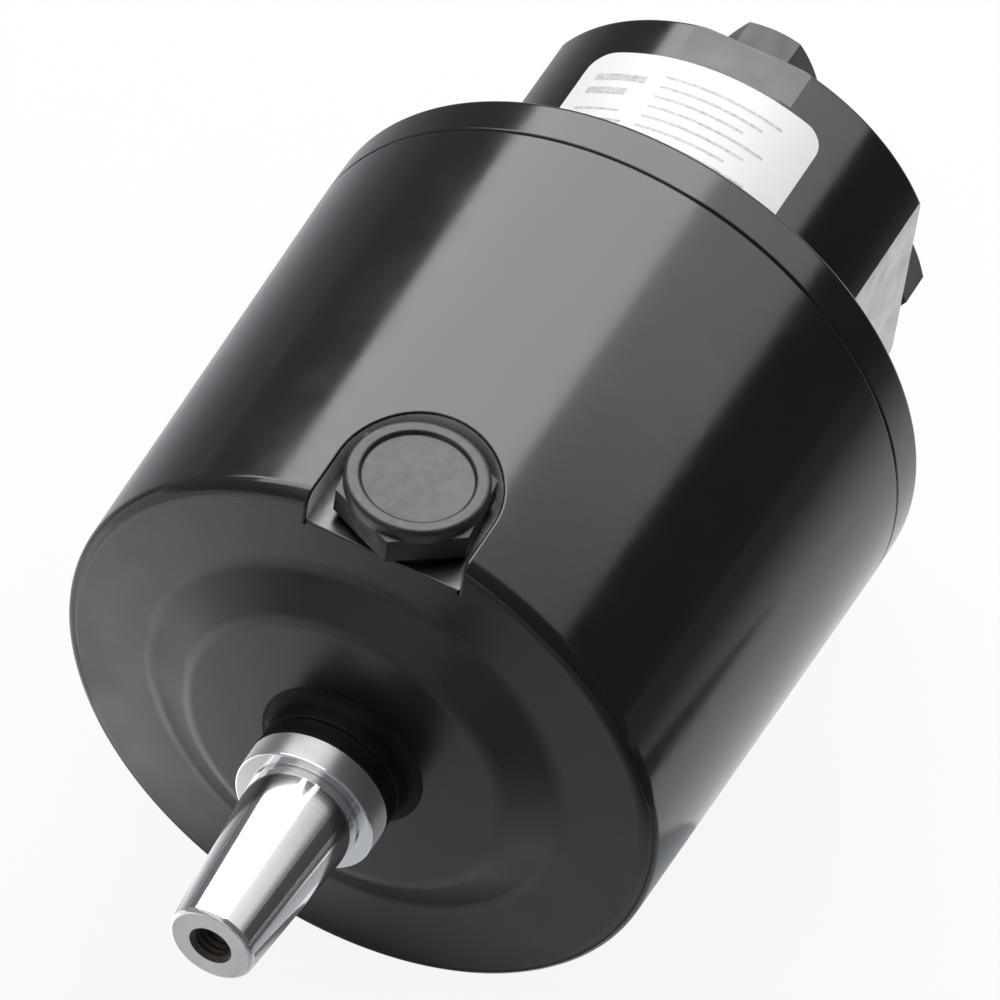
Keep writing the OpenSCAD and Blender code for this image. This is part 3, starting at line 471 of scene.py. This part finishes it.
def rubber():
    mat = material("nitrile", (0.008, 0.008, 0.008), 0.6, ior=1.2)
    vary_colour(mat, noise(mat, 300, 4), (0.006, 0.006, 0.006), (0.011, 0.011, 0.011))
    vary_rough(mat, noise(mat, 900, 3), 0.48, 0.66)
    bump(mat, noise(mat, 1600, 3), 0.02)
    return mat


def satin_plastic():
    mat = material("plug_nylon", (0.014, 0.014, 0.015), 0.38, ior=1.5)
    vary_colour(mat, noise(mat, 250, 4), (0.011, 0.011, 0.012), (0.017, 0.017, 0.0185))
    vary_rough(mat, noise(mat, 700, 3), 0.33, 0.44)
    bump(mat, noise(mat, 2200, 2), 0.012)
    return mat


def vinyl():
    mat = material("label_vinyl", (0.8, 0.8, 0.79), 0.38)
    vary_colour(mat, noise(mat, 60, 3), (0.77, 0.77, 0.76), (0.82, 0.82, 0.815))
    vary_rough(mat, noise(mat, 200, 3), 0.33, 0.44)
    bump(mat, noise(mat, 900, 2), 0.004)
    return mat


def ink():
    mat = material("label_ink", (0.5, 0.5, 0.51), 0.45)
    vary_colour(mat, noise(mat, 1500, 3), (0.38, 0.38, 0.39), (0.68, 0.68, 0.69))
    return mat


PAINT = black_paint("black_paint", 0.16)
SATIN = black_paint("satin_paint", 0.32)
CHROME = turned_steel("polished_steel", (0.83, 0.83, 0.84), 0.1, 1400, 0.0025)
ZINC = plain_metal("zinc_steel", (0.6, 0.61, 0.62), 0.32)
DARK = plain_metal("dark_steel", (0.16, 0.16, 0.17), 0.38)
# Tapped holes: a dark brownish metal, darker than the steel round them
BORE = plain_metal("dark_bore", (0.07, 0.055, 0.04), 0.5, metallic=0.4)
TURNED = lathe_faced("turned_steel", (0.64, 0.64, 0.65), 0.5)
END = plain_metal("shaft_end", (0.86, 0.86, 0.87), 0.5, 900, 0.006, metallic=0.15)
MATTE = plain_metal("matte_grey", (0.055, 0.055, 0.057), 0.5, 900, 0.02, metallic=0.0)
PAD = plain_metal("pad_grey", (0.14, 0.14, 0.143), 0.5, 900, 0.02, metallic=0.0)
MILLED = plain_metal("milled_floor", (0.1, 0.1, 0.1), 0.3, 900, 0.006)
# Pocket walls: bare milled metal, in a colour far lighter than bare metal, as painted light on walls that
# face away from the panels
MILLED_WALL_AND_PAINTED_LIGHT = plain_metal("milled_wall_painted_light", (0.8, 0.8, 0.81), 0.4, 900, 0.006, metallic=0.1)
# The plug's hexagon sides: a darker, duller copy of its nylon, as painted shade
PAINTED_SHADE = plain_metal("plug_side_painted_shade", (0.01, 0.01, 0.011), 0.6, 900, 0.01, metallic=0.0)
CAST = plain_metal("cast_wedge", (0.22, 0.22, 0.23), 0.5, 500, 0.02)
BRONZE = turned_steel("bronze", (0.6, 0.42, 0.22), 0.3, 900, 0.003)
# Nitrile of the dust ring, also laid on the housing's painted neck as painted shade
RUBBER_AND_NECK_SHADE = rubber()
NYLON = satin_plastic()
VINYL = vinyl()
INK = ink()
BARE = plain_metal("bare_aluminium", (0.52, 0.52, 0.53), 0.42, 900, 0.008)
SLOTS = {"black_paint": PAINT, "polished_steel": CHROME, "zinc_steel": ZINC, "dark_steel": DARK,
         "cast_wedge": CAST, "bronze": BRONZE, "nitrile": RUBBER_AND_NECK_SHADE, "plug_nylon": NYLON, "label_vinyl": VINYL}


def dress(obj, body, slot, mats, *replaced):
    """Gives a piece its materials and its body, and hides the nodes that it stands for. Its slot is not used.
    """
    for i in range(SLOT_COUNT):
        obj.data.materials[i] = mats[min(i, len(mats) - 1)]
    while len(obj.data.materials) > len(mats):
        obj.data.materials.pop()
    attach(obj, body)
    if replaced:
        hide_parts(*replaced)
    return obj


def around(r, first=0):
    """The screws' places (x, z) on a circle, from that angle in degrees off the top."""
    turns = [math.radians(first + 360 / SCREWS * k) for k in range(SCREWS)]
    return [(r * math.sin(a), r * math.cos(a)) for a in turns]


def hexagon(across, turn=0, y=0):
    """Corners (x, y) of a hexagon of that size across flats."""
    r = across / math.sqrt(3)
    turns = [math.radians(60 * k + turn) for k in range(6)]
    return [(r * math.cos(a), y + r * math.sin(a)) for a in turns]


# Reservoir: a turned cup with a filler pocket in its top

def reservoir():
    hub_foot = HUB_R + (FACE_Y - HUB_Y) / math.tan(HUB_SLOPE)
    bore, land, boss, seat, seal = 10.4, 40.5, 26, 21.02, 15.02
    land_y, boss_y, seal_y = SEAM_Y - 6, -68.55, FACE_Y - 2
    clip, clip_y = 22.4, -70.55
    outside = [(bore, NECK_Y, 0.2), (NECK_R, NECK_Y, 0.5), (NECK_R, HUB_Y, NECK_FILLET),
               (HUB_R, HUB_Y, HUB_ROUND), (hub_foot, FACE_Y, HUB_ROUND), (FRONT_R, FACE_Y, 2.5),
               (HOUSING_R, SEAM_Y, 0.5)]
    inside = [(land, SEAM_Y), (land, land_y), (CAVITY_R, land_y), (CAVITY_R, INNER_Y), (boss, INNER_Y),
              (boss, boss_y), (seat, boss_y), (seat, clip_y), (clip, clip_y), (clip, BEARING_REAR_Y),
              (seat, BEARING_REAR_Y), (seat, INNER_Y), (seal, INNER_Y), (seal, seal_y), (bore, seal_y)]
    spans = profile(outside + inside)
    obj = lathe("reservoir", spans, 256)
    bosses = [cylinder((x, INNER_Y - 0.5, z), (x, SEAM_Y - 0.3, z), 5.5, 32) for x, z in around(SCREW_CIRCLE)]
    bosses.append(boolean(cylinder((0, PLUG_Y, 36.5), (0, PLUG_Y, 60), 16),
                          [cylinder((0, FACE_Y + 3, 0), (0, SEAM_Y, 0), CAVITY_R + 1, 96)], "INTERSECT"))
    boolean(obj, bosses, "UNION")
    outline = [(POCKET_R * math.cos(math.radians(a)), PLUG_Y + POCKET_R * math.sin(math.radians(a)))
               for a in range(0, 181, 4)]
    outline += [(-POCKET_R, FACE_Y - 8), (POCKET_R, FACE_Y - 8)]
    # The pocket's floor takes slot 1; its walls take slot 3, milled metal lightened with painted light
    tools = [extrude(outline, POCKET_FLOOR, 62, 1, 3), cylinder((0, PLUG_Y, 30), (0, PLUG_Y, 50), 8.07, 64)]
    tools += [cylinder((x, -23.5, z), (x, 0, z), SCREW_HOLE_R, 24) for x, z in around(SCREW_CIRCLE)]
    boolean(obj, tools)
    boolean(obj, [pocket_rim(spans), pocket_lip()])
    shade(obj, spans)
    # The neck and its fillet are painted casting, but take the dull black rubber of slot 2 as painted shade;
    # the rest of the front face takes the satin paint of slot 4
    for face in obj.data.polygons:
        c = face.center / MM
        if c.y < HUB_Y - 0.02 and math.hypot(c.x, c.z) < NECK_R + NECK_FILLET + 0.1:
            face.material_index = 2
        elif face.material_index == 0 and c.y < FACE_Y + 0.02:
            face.material_index = 4
    return dress(obj, "housing", "black_paint", [PAINT, MILLED, RUBBER_AND_NECK_SHADE, MILLED_WALL_AND_PAINTED_LIGHT, SATIN], "front_housing")


def pocket_rim(spans):
    """Rounds the rim of the pocket along its side walls and its round rear wall."""
    def station(x, y, r, n, wall):
        z = math.sqrt(r * r - x * x)
        return Vector((x, y, z)), Vector((n.x * x / r, n.y, n.x * z / r)).normalized(), wall
    slope = HOUSING_TAPER / (SEAM_Y - FACE_Y)
    cone = Vector((1, -slope)).normalized()
    # Along a side wall: the front face, its round edge, and the tapered side
    side = [(FACE_Y, r, Vector((0, -1))) for r in (45.6, 47.5, 48.8)]
    for p0, _, n0, _ in spans:
        if n0.y < -0.02 and n0.x > 0.02 and p0.y < FACE_Y + 3 and p0.x > 49:
            side.append((p0.y, p0.x, n0))
    for y in (-88.0, -85.0):
        side.append((y, FRONT_R + slope * (y - FACE_Y), cone))
    path = [station(POCKET_R, y, r, n, Vector((-1, 0, 0))) for y, r, n in side]
    for a in range(0, 181, 6):
        c, s = math.cos(math.radians(a)), math.sin(math.radians(a))
        y = PLUG_Y + POCKET_R * s
        path.append(station(POCKET_R * c, y, FRONT_R + slope * (y - FACE_Y), cone, Vector((-c, -s, 0))))
    path += [station(-POCKET_R, y, r, n, Vector((1, 0, 0))) for y, r, n in reversed(side)]
    return edge_round(path, RIM_ROUND)


def pocket_lip():
    """Rounds the front edge of the pocket's floor."""
    return edge_round([(Vector((x, FACE_Y, POCKET_FLOOR)), Vector((0, -1, 0)), Vector((0, 0, 1)))
                       for x in (-POCKET_R + 0.02, 0, POCKET_R - 0.02)], RIM_ROUND)


# Valve body: flange and rear cylinder with bare flats

def valve_body():
    front_y, rear_y = -11.0, -8.6
    corners = [(0, SPIGOT_Y), (SPIGOT_R, SPIGOT_Y, 0.2), (SPIGOT_R, front_y), (GROOVE_R, front_y),
               (GROOVE_R, rear_y), (SPIGOT_R, rear_y), (SPIGOT_R, SEAM_Y), (HOUSING_R, SEAM_Y, 0.5),
               (HOUSING_R, 0, 1.0), (VALVE_R, 0, 1.5), (VALVE_R, VALVE_END_Y, 0.8), (0, VALVE_END_Y)]
    spans = profile(corners, closed=False)
    obj = lathe("valve_casting", spans, 256)
    end = VALVE_END_Y
    boolean(obj, [block((SIDE_FLAT, 3, -60), (80, end + 9, 60), 1),
                  block((-80, 3, -60), (-SIDE_FLAT, end + 9, 60), 1),
                  block((-60, end - 8.5, TOP_PAD), (60, end + 9, 80), 2),
                  cylinder((0, -20, 0), (0, 1.2, 0), 9.07, 48),
                  cylinder((-60, LOCK_BORE_Y, 0), (60, LOCK_BORE_Y, 0), 8, 64, 1)])
    holes = [cylinder((x, end - 11, z), (x, end + 5, z), 6.62, 48) for x, z, _ in PORTS]
    head_r, head_y = 4.65, -5.4
    recess = profile([(0, 4), (head_r, 4), (head_r, head_y), (SCREW_HOLE_R, head_y), (SCREW_HOLE_R, -20),
                      (0, -20)], closed=False)
    for (x, z), (dash_x, dash_z) in zip(around(SCREW_CIRCLE), around(DASH_CIRCLE, 180 / SCREWS)):
        holes.append(moved(lathe("cutter", recess, 37), (x, 0, z)))
        holes.append(thread_hole((dash_x, 0, dash_z), 2.5, 6.4, 1.0))
    boolean(obj, holes)
    shade(obj, spans)
    return dress(obj, "housing", "black_paint", [PAINT, BARE, PAD], "valve_body", "mounting_flange")


def thread_hole(mouth, r, depth, pitch, axis=1):
    """A cutter for a tapped hole that opens towards +Y or -Y: ridged walls and a countersunk mouth."""
    crest, root, sink = r - 0.45, r + 0.05, 0.25
    corners = [(0, 3), (r + 0.3, 3), (r + 0.3, 0.02), (root, -sink)]
    for k in range(int((depth - 1.2) / pitch)):
        s = -sink - pitch * k
        corners += [(crest, s - pitch * 0.45), (crest, s - pitch * 0.55), (root, s - pitch * 0.95)]
    corners += [(crest, -depth + 0.3), (0, -depth)]
    obj = lathe("cutter", profile(corners, closed=False), 48)
    for v in obj.data.vertices:
        v.co.y *= axis
    fix_normals(moved(obj, mouth))
    return set_index(obj, 1)


# Shaft: journal, collar and wheel taper with a tapped end

def shaft():
    relief, relief_y = 9.15, COLLAR_Y - 0.6
    clip, clip_y = 9.1, -85.5
    shoulder, shoulder_y = 13, -67.3
    journal, journal_y, end_y = 7, -16.9, -1.3
    corners = [(0, SHAFT_END_Y), (TAPER_END_R, SHAFT_END_Y, 0.9), (TAPER_ROOT_R, relief_y, 0.1),
               (relief, relief_y), (relief, COLLAR_Y), (COLLAR_R, COLLAR_Y, 0.35),
               (COLLAR_R, COLLAR_REAR_Y, 0.3), (SHAFT_R, COLLAR_REAR_Y), (SHAFT_R, clip_y), (clip, clip_y),
               (clip, INNER_Y), (SHAFT_R, INNER_Y), (SHAFT_R, BEARING_REAR_Y),
               (shoulder, BEARING_REAR_Y, 0.4), (shoulder, shoulder_y, 0.4), (SHAFT_R, shoulder_y),
               (SHAFT_R, journal_y, 0.4), (journal, journal_y), (journal, end_y, 0.6), (0, end_y)]
    spans = profile(corners, closed=False)
    obj = lathe("wheel_shaft", spans, 192)
    key_set, key_depth, key_r = 10, 4.4, 8
    key_y = COLLAR_Y - key_set
    taper_r = TAPER_ROOT_R - (TAPER_ROOT_R - TAPER_END_R) * key_set / TAPER_LEN
    key_z = -(taper_r - key_depth + key_r)
    boolean(obj, [thread_hole((0, SHAFT_END_Y, 0), 3.4, 14, 1.25, -1),
                  cylinder((-2.02, key_y, key_z), (2.02, key_y, key_z), key_r + 0.02, 64),
                  block((-3.02, -40.92, 6.7), (3.02, -20.88, 20))])
    shade(obj, spans)
    for face in obj.data.polygons:
        y = face.center.y / MM
        if face.material_index == 0 and COLLAR_Y + 0.34 < y < COLLAR_REAR_Y:
            face.material_index = 2
        if face.material_index == 0 and y < SHAFT_END_Y + 0.02:
            face.material_index = 3
    return dress(obj, "shaft", "polished_steel", [CHROME, BORE, TURNED, END], "steering_shaft")


def dust_ring():
    rear = NECK_Y - 0.1
    corners = [(10.02, COLLAR_REAR_Y), (12.2, COLLAR_REAR_Y, 0.2), (12, rear - 1.2, 0.3), (12, rear, 0.2),
               (11.3, rear), (11.1, rear - 1.4), (10.02, rear - 1.4)]
    spans = profile(corners)
    obj = shade(lathe("dust_ring", spans, 128), spans)
    return dress(obj, "shaft", "nitrile", [RUBBER_AND_NECK_SHADE], "dust_seal")


# Filler plug: hexagon, round cap with a raised rim and a bare dish

def plug():
    cap_z = PLUG_TOP_Z - 2.4
    obj = extrude(hexagon(PLUG_AF, PLUG_TURN, PLUG_Y), POCKET_FLOOR + 1.5, cap_z + 0.2)
    obj.name = "filler_cap"
    cap = [(0, cap_z - 0.4), (11.5, cap_z - 0.4, 0.35), (11.5, PLUG_TOP_Z, 0.9), (9.2, PLUG_TOP_Z, 0.6),
           (8.8, PLUG_TOP_Z - 0.7, 0.35), (0, PLUG_TOP_Z - 0.7)]
    stem = [(0, 37.5), (7.0, 37.5), (8.0, 38.5), (8.0, POCKET_FLOOR + 2), (0, POCKET_FLOOR + 2)]
    parts = []
    for line in (cap, stem):
        piece = lathe("cutter", profile(line, closed=False), 128)
        for v in piece.data.vertices:
            v.co = Vector((v.co.x, PLUG_Y * MM - v.co.z, v.co.y))
        fix_normals(piece)
        parts.append(piece)
    boolean(obj, parts, "UNION")
    mod = obj.modifiers.new("edges", "BEVEL")
    mod.width = 0.25 * MM
    mod.segments = 2
    mod.limit_method = "ANGLE"
    mod.angle_limit = math.radians(50)
    obj.data = evaluated_mesh(obj)
    obj.modifiers.clear()
    shade(obj, angle=35)
    # Upright faces below the cap, the hexagon's sides, take the painted shade in slot 1
    for face in obj.data.polygons:
        if face.center.z / MM < cap_z and abs(face.normal.z) < 0.3:
            face.material_index = 1
    return dress(obj, "plug", "plug_nylon", [NYLON, PAINTED_SHADE], "filler_plug")


# Label: a thin bent sheet with grey ruled bars in place of print

def bent_patch(x0, x1, y0, y1, r, t, corner=0.0):
    """A sheet bent round the rear cylinder, in arc length from its middle. Its far corners may be round."""
    bm = bmesh.new()
    cells = 48 if corner else 16
    lines = [(y0, 0.0), (y1, 0.0)]
    if corner:
        straight = y1 - corner - y0
        lines = [(y0 + straight * j / 8, 0.0) for j in range(9)]
        for j in range(1, 9):
            a = math.radians(90 * j / 8)
            lines.append((y1 - corner + corner * math.sin(a), corner * (1 - math.cos(a))))
    layers = []
    for radius in (r + t, r):
        layer = []
        for y, inset in lines:
            row = []
            for i in range(cells + 1):
                a = (x0 + inset + (x1 - x0 - 2 * inset) * i / cells) / VALVE_R - LABEL_TURN
                row.append(bm.verts.new((radius * math.sin(a) * MM, y * MM, radius * math.cos(a) * MM)))
            layer.append(row)
        layers.append(layer)
    last = len(lines) - 1
    for layer in layers:
        for j in range(last):
            for i in range(cells):
                bm.faces.new((layer[j][i], layer[j][i + 1], layer[j + 1][i + 1], layer[j + 1][i]))
    top, low = layers
    ring = [(0, i) for i in range(cells)] + [(j, cells) for j in range(last)]
    ring += [(last, i) for i in range(cells, 0, -1)] + [(j, 0) for j in range(last, 0, -1)]
    for (j, i), (m, n) in zip(ring, ring[1:] + ring[:1]):
        bm.faces.new((top[j][i], top[m][n], low[m][n], low[j][i]))
    bmesh.ops.recalc_face_normals(bm, faces=bm.faces)
    return bm


def label():
    obj = shade(to_object("label_sheet", bent_patch(-LABEL_HALF_W, LABEL_HALF_W, LABEL_START_Y, LABEL_END_Y,
                                                    LABEL_R, LABEL_T, LABEL_CORNER)))
    dress(obj, "housing", "label_vinyl", [VINYL], "label")
    bars = [(-18.5, -9, 25.0, 26.6), (-18.5, -11, 21.6, 23.2)]
    bars += [(-6, 15 - k % 3 * 2.5, 27.2 - 2.4 * k, 27.75 - 2.4 * k) for k in range(8)]
    bars += [(-18.5, -10 + k % 2 * 1.5, 17.6 - 2.4 * k, 18.1 - 2.4 * k) for k in range(4)]
    whole = bmesh.new()
    for x0, x1, y0, y1 in bars:
        bar = to_object("bar", bent_patch(x0, x1, y0, y1, VALVE_R + 0.21, 0.03))
        whole.from_mesh(bar.data)
        bpy.data.objects.remove(bar)
    dress(shade(to_object("label_bars", whole)), "housing", "label_vinyl", [INK])


# Port fittings: hexagons with a bevelled top and a tapped hole

def fittings():
    base = VALVE_END_Y
    stem_line = profile([(0, -10), (5.8, -10), (6.6, -9.2), (6.6, 2), (0, 2)], closed=False)
    whole = bmesh.new()
    for x, z, across in PORTS:
        body = extrude(hexagon(across), 1.6, FITTING_H)
        for v in body.data.vertices:
            v.co = Vector((x * MM + v.co.x, base * MM + v.co.z, z * MM - v.co.y))
        fix_normals(body)
        cone_line = profile([(0, 0), (14, 0), (14, 6.2), (across / 2 - 0.1, FITTING_H), (0, FITTING_H)],
                            closed=False)
        cone = lathe("cutter", cone_line, 96)
        stem = lathe("cutter", stem_line, 64)
        boolean(body, [moved(cone, (x, base, z))], "INTERSECT")
        boolean(body, [moved(stem, (x, base, z))], "UNION")
        boolean(body, [thread_hole((x, base + FITTING_H, z), 4.3, 12, 1.0)])
        whole.from_mesh(body.data)
        bpy.data.objects.remove(body)
    obj = shade(to_object("port_hexagons", whole))
    return dress(obj, "housing", "dark_steel", [MATTE, BORE], "port_fittings")


reservoir()
valve_body()
shaft()
dust_ring()
plug()
label()
fittings()

# Solids that stay as they are get their slot's material
slots = {s["node"]: s["material_slot"] for s in frame["record"]["subparts"]}
for name, obj in nodes.items():
    obj.data.materials.clear()
    obj.data.materials.append(SLOTS[slots[name]])


def valve_spring(side):
    """A spring of the lock valve, copied from its node onto the housing in place of it."""
    node = side + "_poppet_spring"
    obj = bpy.data.objects.new(side + "_valve_spring", nodes[node].data.copy())
    bpy.context.scene.collection.objects.link(obj)
    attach(obj, "housing")
    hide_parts(node)
    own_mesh(obj)


valve_spring("left")
valve_spring("right")


# Camera at the photograph's angle

def camera():
    data = bpy.data.cameras.new("camera")
    data.lens = 382.49
    data.sensor_width = 36
    data.clip_end = 50
    obj = bpy.data.objects.new("camera", data)
    bpy.context.scene.collection.objects.link(obj)
    right = Vector((0.88608, 0.4524, 0.10096))
    up = Vector((-0.40579, 0.65181, 0.64069))
    back = Vector((0.22404, -0.60867, 0.76114))
    turn = Matrix((right, up, back)).transposed().to_4x4()
    obj.matrix_world = Matrix.Translation((0.378545, -1.072492, 1.294834)) @ turn
    bpy.context.scene.camera = obj


# Studio: a pale floor, soft panels above, and dim cards that only the glossy faces see

def fresh_tree(owner, output):
    """An empty node tree of a material or world, and its output."""
    owner.use_nodes = True
    owner.node_tree.nodes.clear()
    return owner.node_tree, owner.node_tree.nodes.new(output)


def seen_directly(tree):
    """One for rays from the camera and from glossy and clear surfaces, and none for the rest."""
    path = tree.nodes.new("ShaderNodeLightPath")
    total = path.outputs["Is Camera Ray"]
    for kind in ("Is Glossy Ray", "Is Transmission Ray"):
        add = tree.nodes.new("ShaderNodeMath")
        add.operation = "ADD"
        tree.links.new(total, add.inputs[0])
        tree.links.new(path.outputs[kind], add.inputs[1])
        total = add.outputs[0]
    return total


def glow():
    """Light whose strength each vertex of the card gives."""
    mat = bpy.data.materials.new("glow")
    tree, out = fresh_tree(mat, "ShaderNodeOutputMaterial")
    light = tree.nodes.new("ShaderNodeEmission")
    level = tree.nodes.new("ShaderNodeAttribute")
    level.attribute_name = "level"
    tree.links.new(level.outputs["Color"], light.inputs["Color"])
    tree.links.new(light.outputs["Emission"], out.inputs["Surface"])
    return mat


GLOW = glow()


def at(stops, value):
    """A level between the stops (place, level)."""
    for (p0, l0), (p1, l1) in zip(stops, stops[1:]):
        if value <= p1:
            return l0 + (l1 - l0) * max(0.0, (value - p0) / (p1 - p0))
    return stops[-1][1]


def card(name, rows, levels, lights):
    """A card on rows of points. Only those that light the object are seen by its matte surfaces."""
    bm = bmesh.new()
    grid = [[bm.verts.new(p) for p in row] for row in rows]
    for low, high in zip(grid, grid[1:]):
        for i in range(len(low) - 1):
            bm.faces.new((low[i], low[i + 1], high[i + 1], high[i]))
    obj = to_object(name, bm)
    tint = obj.data.attributes.new("level", "FLOAT_COLOR", "POINT")
    for entry, level in zip(tint.data, [level for row in levels for level in row]):
        cool = 0.05 if level < 0.65 else 0
        entry.color = (level * (1 - cool), level, level * (1 + cool), 1)
    obj.data.materials.clear()
    obj.data.materials.append(GLOW)
    obj.visible_camera = False
    obj.visible_shadow = False
    obj.visible_diffuse = lights


def panel(name, stops, chi, radius=1.2, lights=True):
    """A curved card about the shaft's axis: stops (degrees from the top towards +X, level), chi from +Y."""
    rows, levels = [], []
    for j in range(9):
        c = math.radians(chi[0] + (chi[1] - chi[0]) * j / 8)
        row, line = [], []
        for i in range(33):
            psi = stops[0][0] + (stops[-1][0] - stops[0][0]) * i / 32
            p = math.radians(psi)
            row.append((radius * math.sin(c) * math.sin(p), PANEL_Y + radius * math.cos(c),
                        radius * math.sin(c) * math.cos(p)))
            line.append(at(stops, psi))
        rows.append(row)
        levels.append(line)
    card(name, rows, levels, lights)


def floor_card(name, stops, rows, lift=0.0002):
    """A floor card for glossy faces: stops (x, level), rows (y, shift in x, gain), in millimetres."""
    xs = [stops[0][0] + (stops[-1][0] - stops[0][0]) * i / 60 for i in range(61)]
    points = [[(x * MM, y * MM, -HOUSING_R * MM + lift) for x in xs] for y, _, _ in rows]
    card(name, points, [[at(stops, x - shift) * gain for x in xs] for _, shift, gain in rows], False)


def floor():
    bm = bmesh.new()
    bmesh.ops.create_grid(bm, x_segments=1, y_segments=1, size=6)
    obj = to_object("floor", bm)
    obj.location.z = -HOUSING_R * MM - FLOOR_DROP
    mat = bpy.data.materials.new("floor")
    tree, out = fresh_tree(mat, "ShaderNodeOutputMaterial")
    share = tree.nodes.new("ShaderNodeMath")
    share.operation = "MULTIPLY"
    share.inputs[1].default_value = 0.9
    matte = tree.nodes.new("ShaderNodeBsdfDiffuse")
    matte.inputs["Color"].default_value = (0.85, 0.85, 0.85, 1)
    glow = tree.nodes.new("ShaderNodeEmission")
    mix = tree.nodes.new("ShaderNodeMixShader")
    tree.links.new(seen_directly(tree), share.inputs[0])
    tree.links.new(share.outputs[0], mix.inputs["Fac"])
    tree.links.new(matte.outputs["BSDF"], mix.inputs[1])
    tree.links.new(glow.outputs["Emission"], mix.inputs[2])
    tree.links.new(mix.outputs["Shader"], out.inputs["Surface"])
    obj.data.materials.clear()
    obj.data.materials.append(mat)


def world():
    sky = bpy.data.worlds.new("studio")
    bpy.context.scene.world = sky
    tree, out = fresh_tree(sky, "ShaderNodeOutputWorld")
    soft = tree.nodes.new("ShaderNodeBackground")
    soft.inputs["Strength"].default_value = 0.35
    bright = tree.nodes.new("ShaderNodeBackground")
    for node in (soft, bright):
        node.inputs["Color"].default_value = (1, 1, 1, 1)
    mix = tree.nodes.new("ShaderNodeMixShader")
    tree.links.new(seen_directly(tree), mix.inputs["Fac"])
    tree.links.new(soft.outputs["Background"], mix.inputs[1])
    tree.links.new(bright.outputs["Background"], mix.inputs[2])
    tree.links.new(mix.outputs["Shader"], out.inputs["Surface"])


camera()
floor()
world()
panel("main_panel", [(-59, 5.4), (-20, 6), (10, 6.2)], (42, 59.5))
panel("main_high_panel", [(-71, 2), (-63, 4.8), (-20, 6), (10, 6.2)], (59.5, 70))
panel("main_top_panel", [(-58, 4), (-20, 6), (8, 6)], (70, 95), 1.15, lights=False)
panel("side_panel", [(10.5, 2.7), (54.5, 2.2)], (42, 57))
panel("side_upper_card", [(10.5, 1.15), (53, 0.95)], (57, 61.5), lights=False)
panel("side_gap_card", [(10.5, 0.45), (40, 0.2), (60, 0.08)], (61.5, 65.5), lights=False)
panel("side_top_card", [(10.5, 1.1), (30, 0.9), (46, 0.8), (62, 0.15)], (65.5, 73), lights=False)
panel("left_card", [(-95, 0.17), (-59.5, 0.15)], (15, 59.5), lights=False)
panel("left_high_card", [(-95, 0.17), (-71.5, 0.17)], (59.5, 73), lights=False)
panel("right_card", [(55, 0.06), (95, 0.06)], (15, 65.5), lights=False)
panel("right_high_card", [(62.5, 0.08), (95, 0.06)], (65.5, 73), lights=False)
panel("front_sky_card", [(-95, 0.3), (-60, 0.35), (-45, 0.8), (-5, 0.8), (10, 0.2), (95, 0.1)], (73.2, 172),
      lights=False)
floor_card("front_card",
           [(-160, 1.5), (-92, 1.5), (-76, 2.1), (-62, 2.15), (-52, 1.8), (-42, 1.3), (-32, 1.2),
            (-24, 0.9), (-14, 0.58), (0, 0.55), (16, 0.58), (60, 0.6), (110, 0.5), (160, 0.15)],
           [(-420, -22, 0.5), (-250, -22, 0.5), (-168, -25, 0.76), (-152, -9, 0.96), (-137, 0, 1),
            (-125, 5, 1.13), (-112, 16, 1.2), (-102, 20, 0.85), (-98.5, 20, 0.5), (-96, 20, 0.25),
            (-90, 20, 0.2)])
floor_card("front_far_card", [(-1200, 0.3), (-300, 0.35), (-100, 0.45), (100, 0.45), (300, 0.3), (1200, 0.1)],
           [(-1800, 0, 1), (-421, 0, 1)])
floor_card("left_near_card", [(-160, 1.1), (-72, 1), (-59, 1.2)], [(-119, 0, 1), (-89.8, 0, 0.8)], 0.0004)
floor_card("left_floor_card", [(-900, 0.17), (-400, 0.25), (-220, 0.34), (-110, 0.6), (-70, 0.8)],
           [(-90, 0, 1), (900, 0, 1)])
floor_card("right_floor_card", [(130, 1), (200, 0.65), (330, 0.2), (900, 0.06)], [(60, 0, 1), (900, 0, 1)])
floor_card("right_front_card", [(165, 0.12), (300, 0.08), (900, 0.06)], [(-420, 0, 1), (55, 0, 1)])
floor_card("right_near_card", [(40, 0.5), (100, 0.42), (164, 0.3)], [(-89, 0, 1), (-40, 0, 1)])
bpy.context.scene.view_settings.view_transform = "Standard"
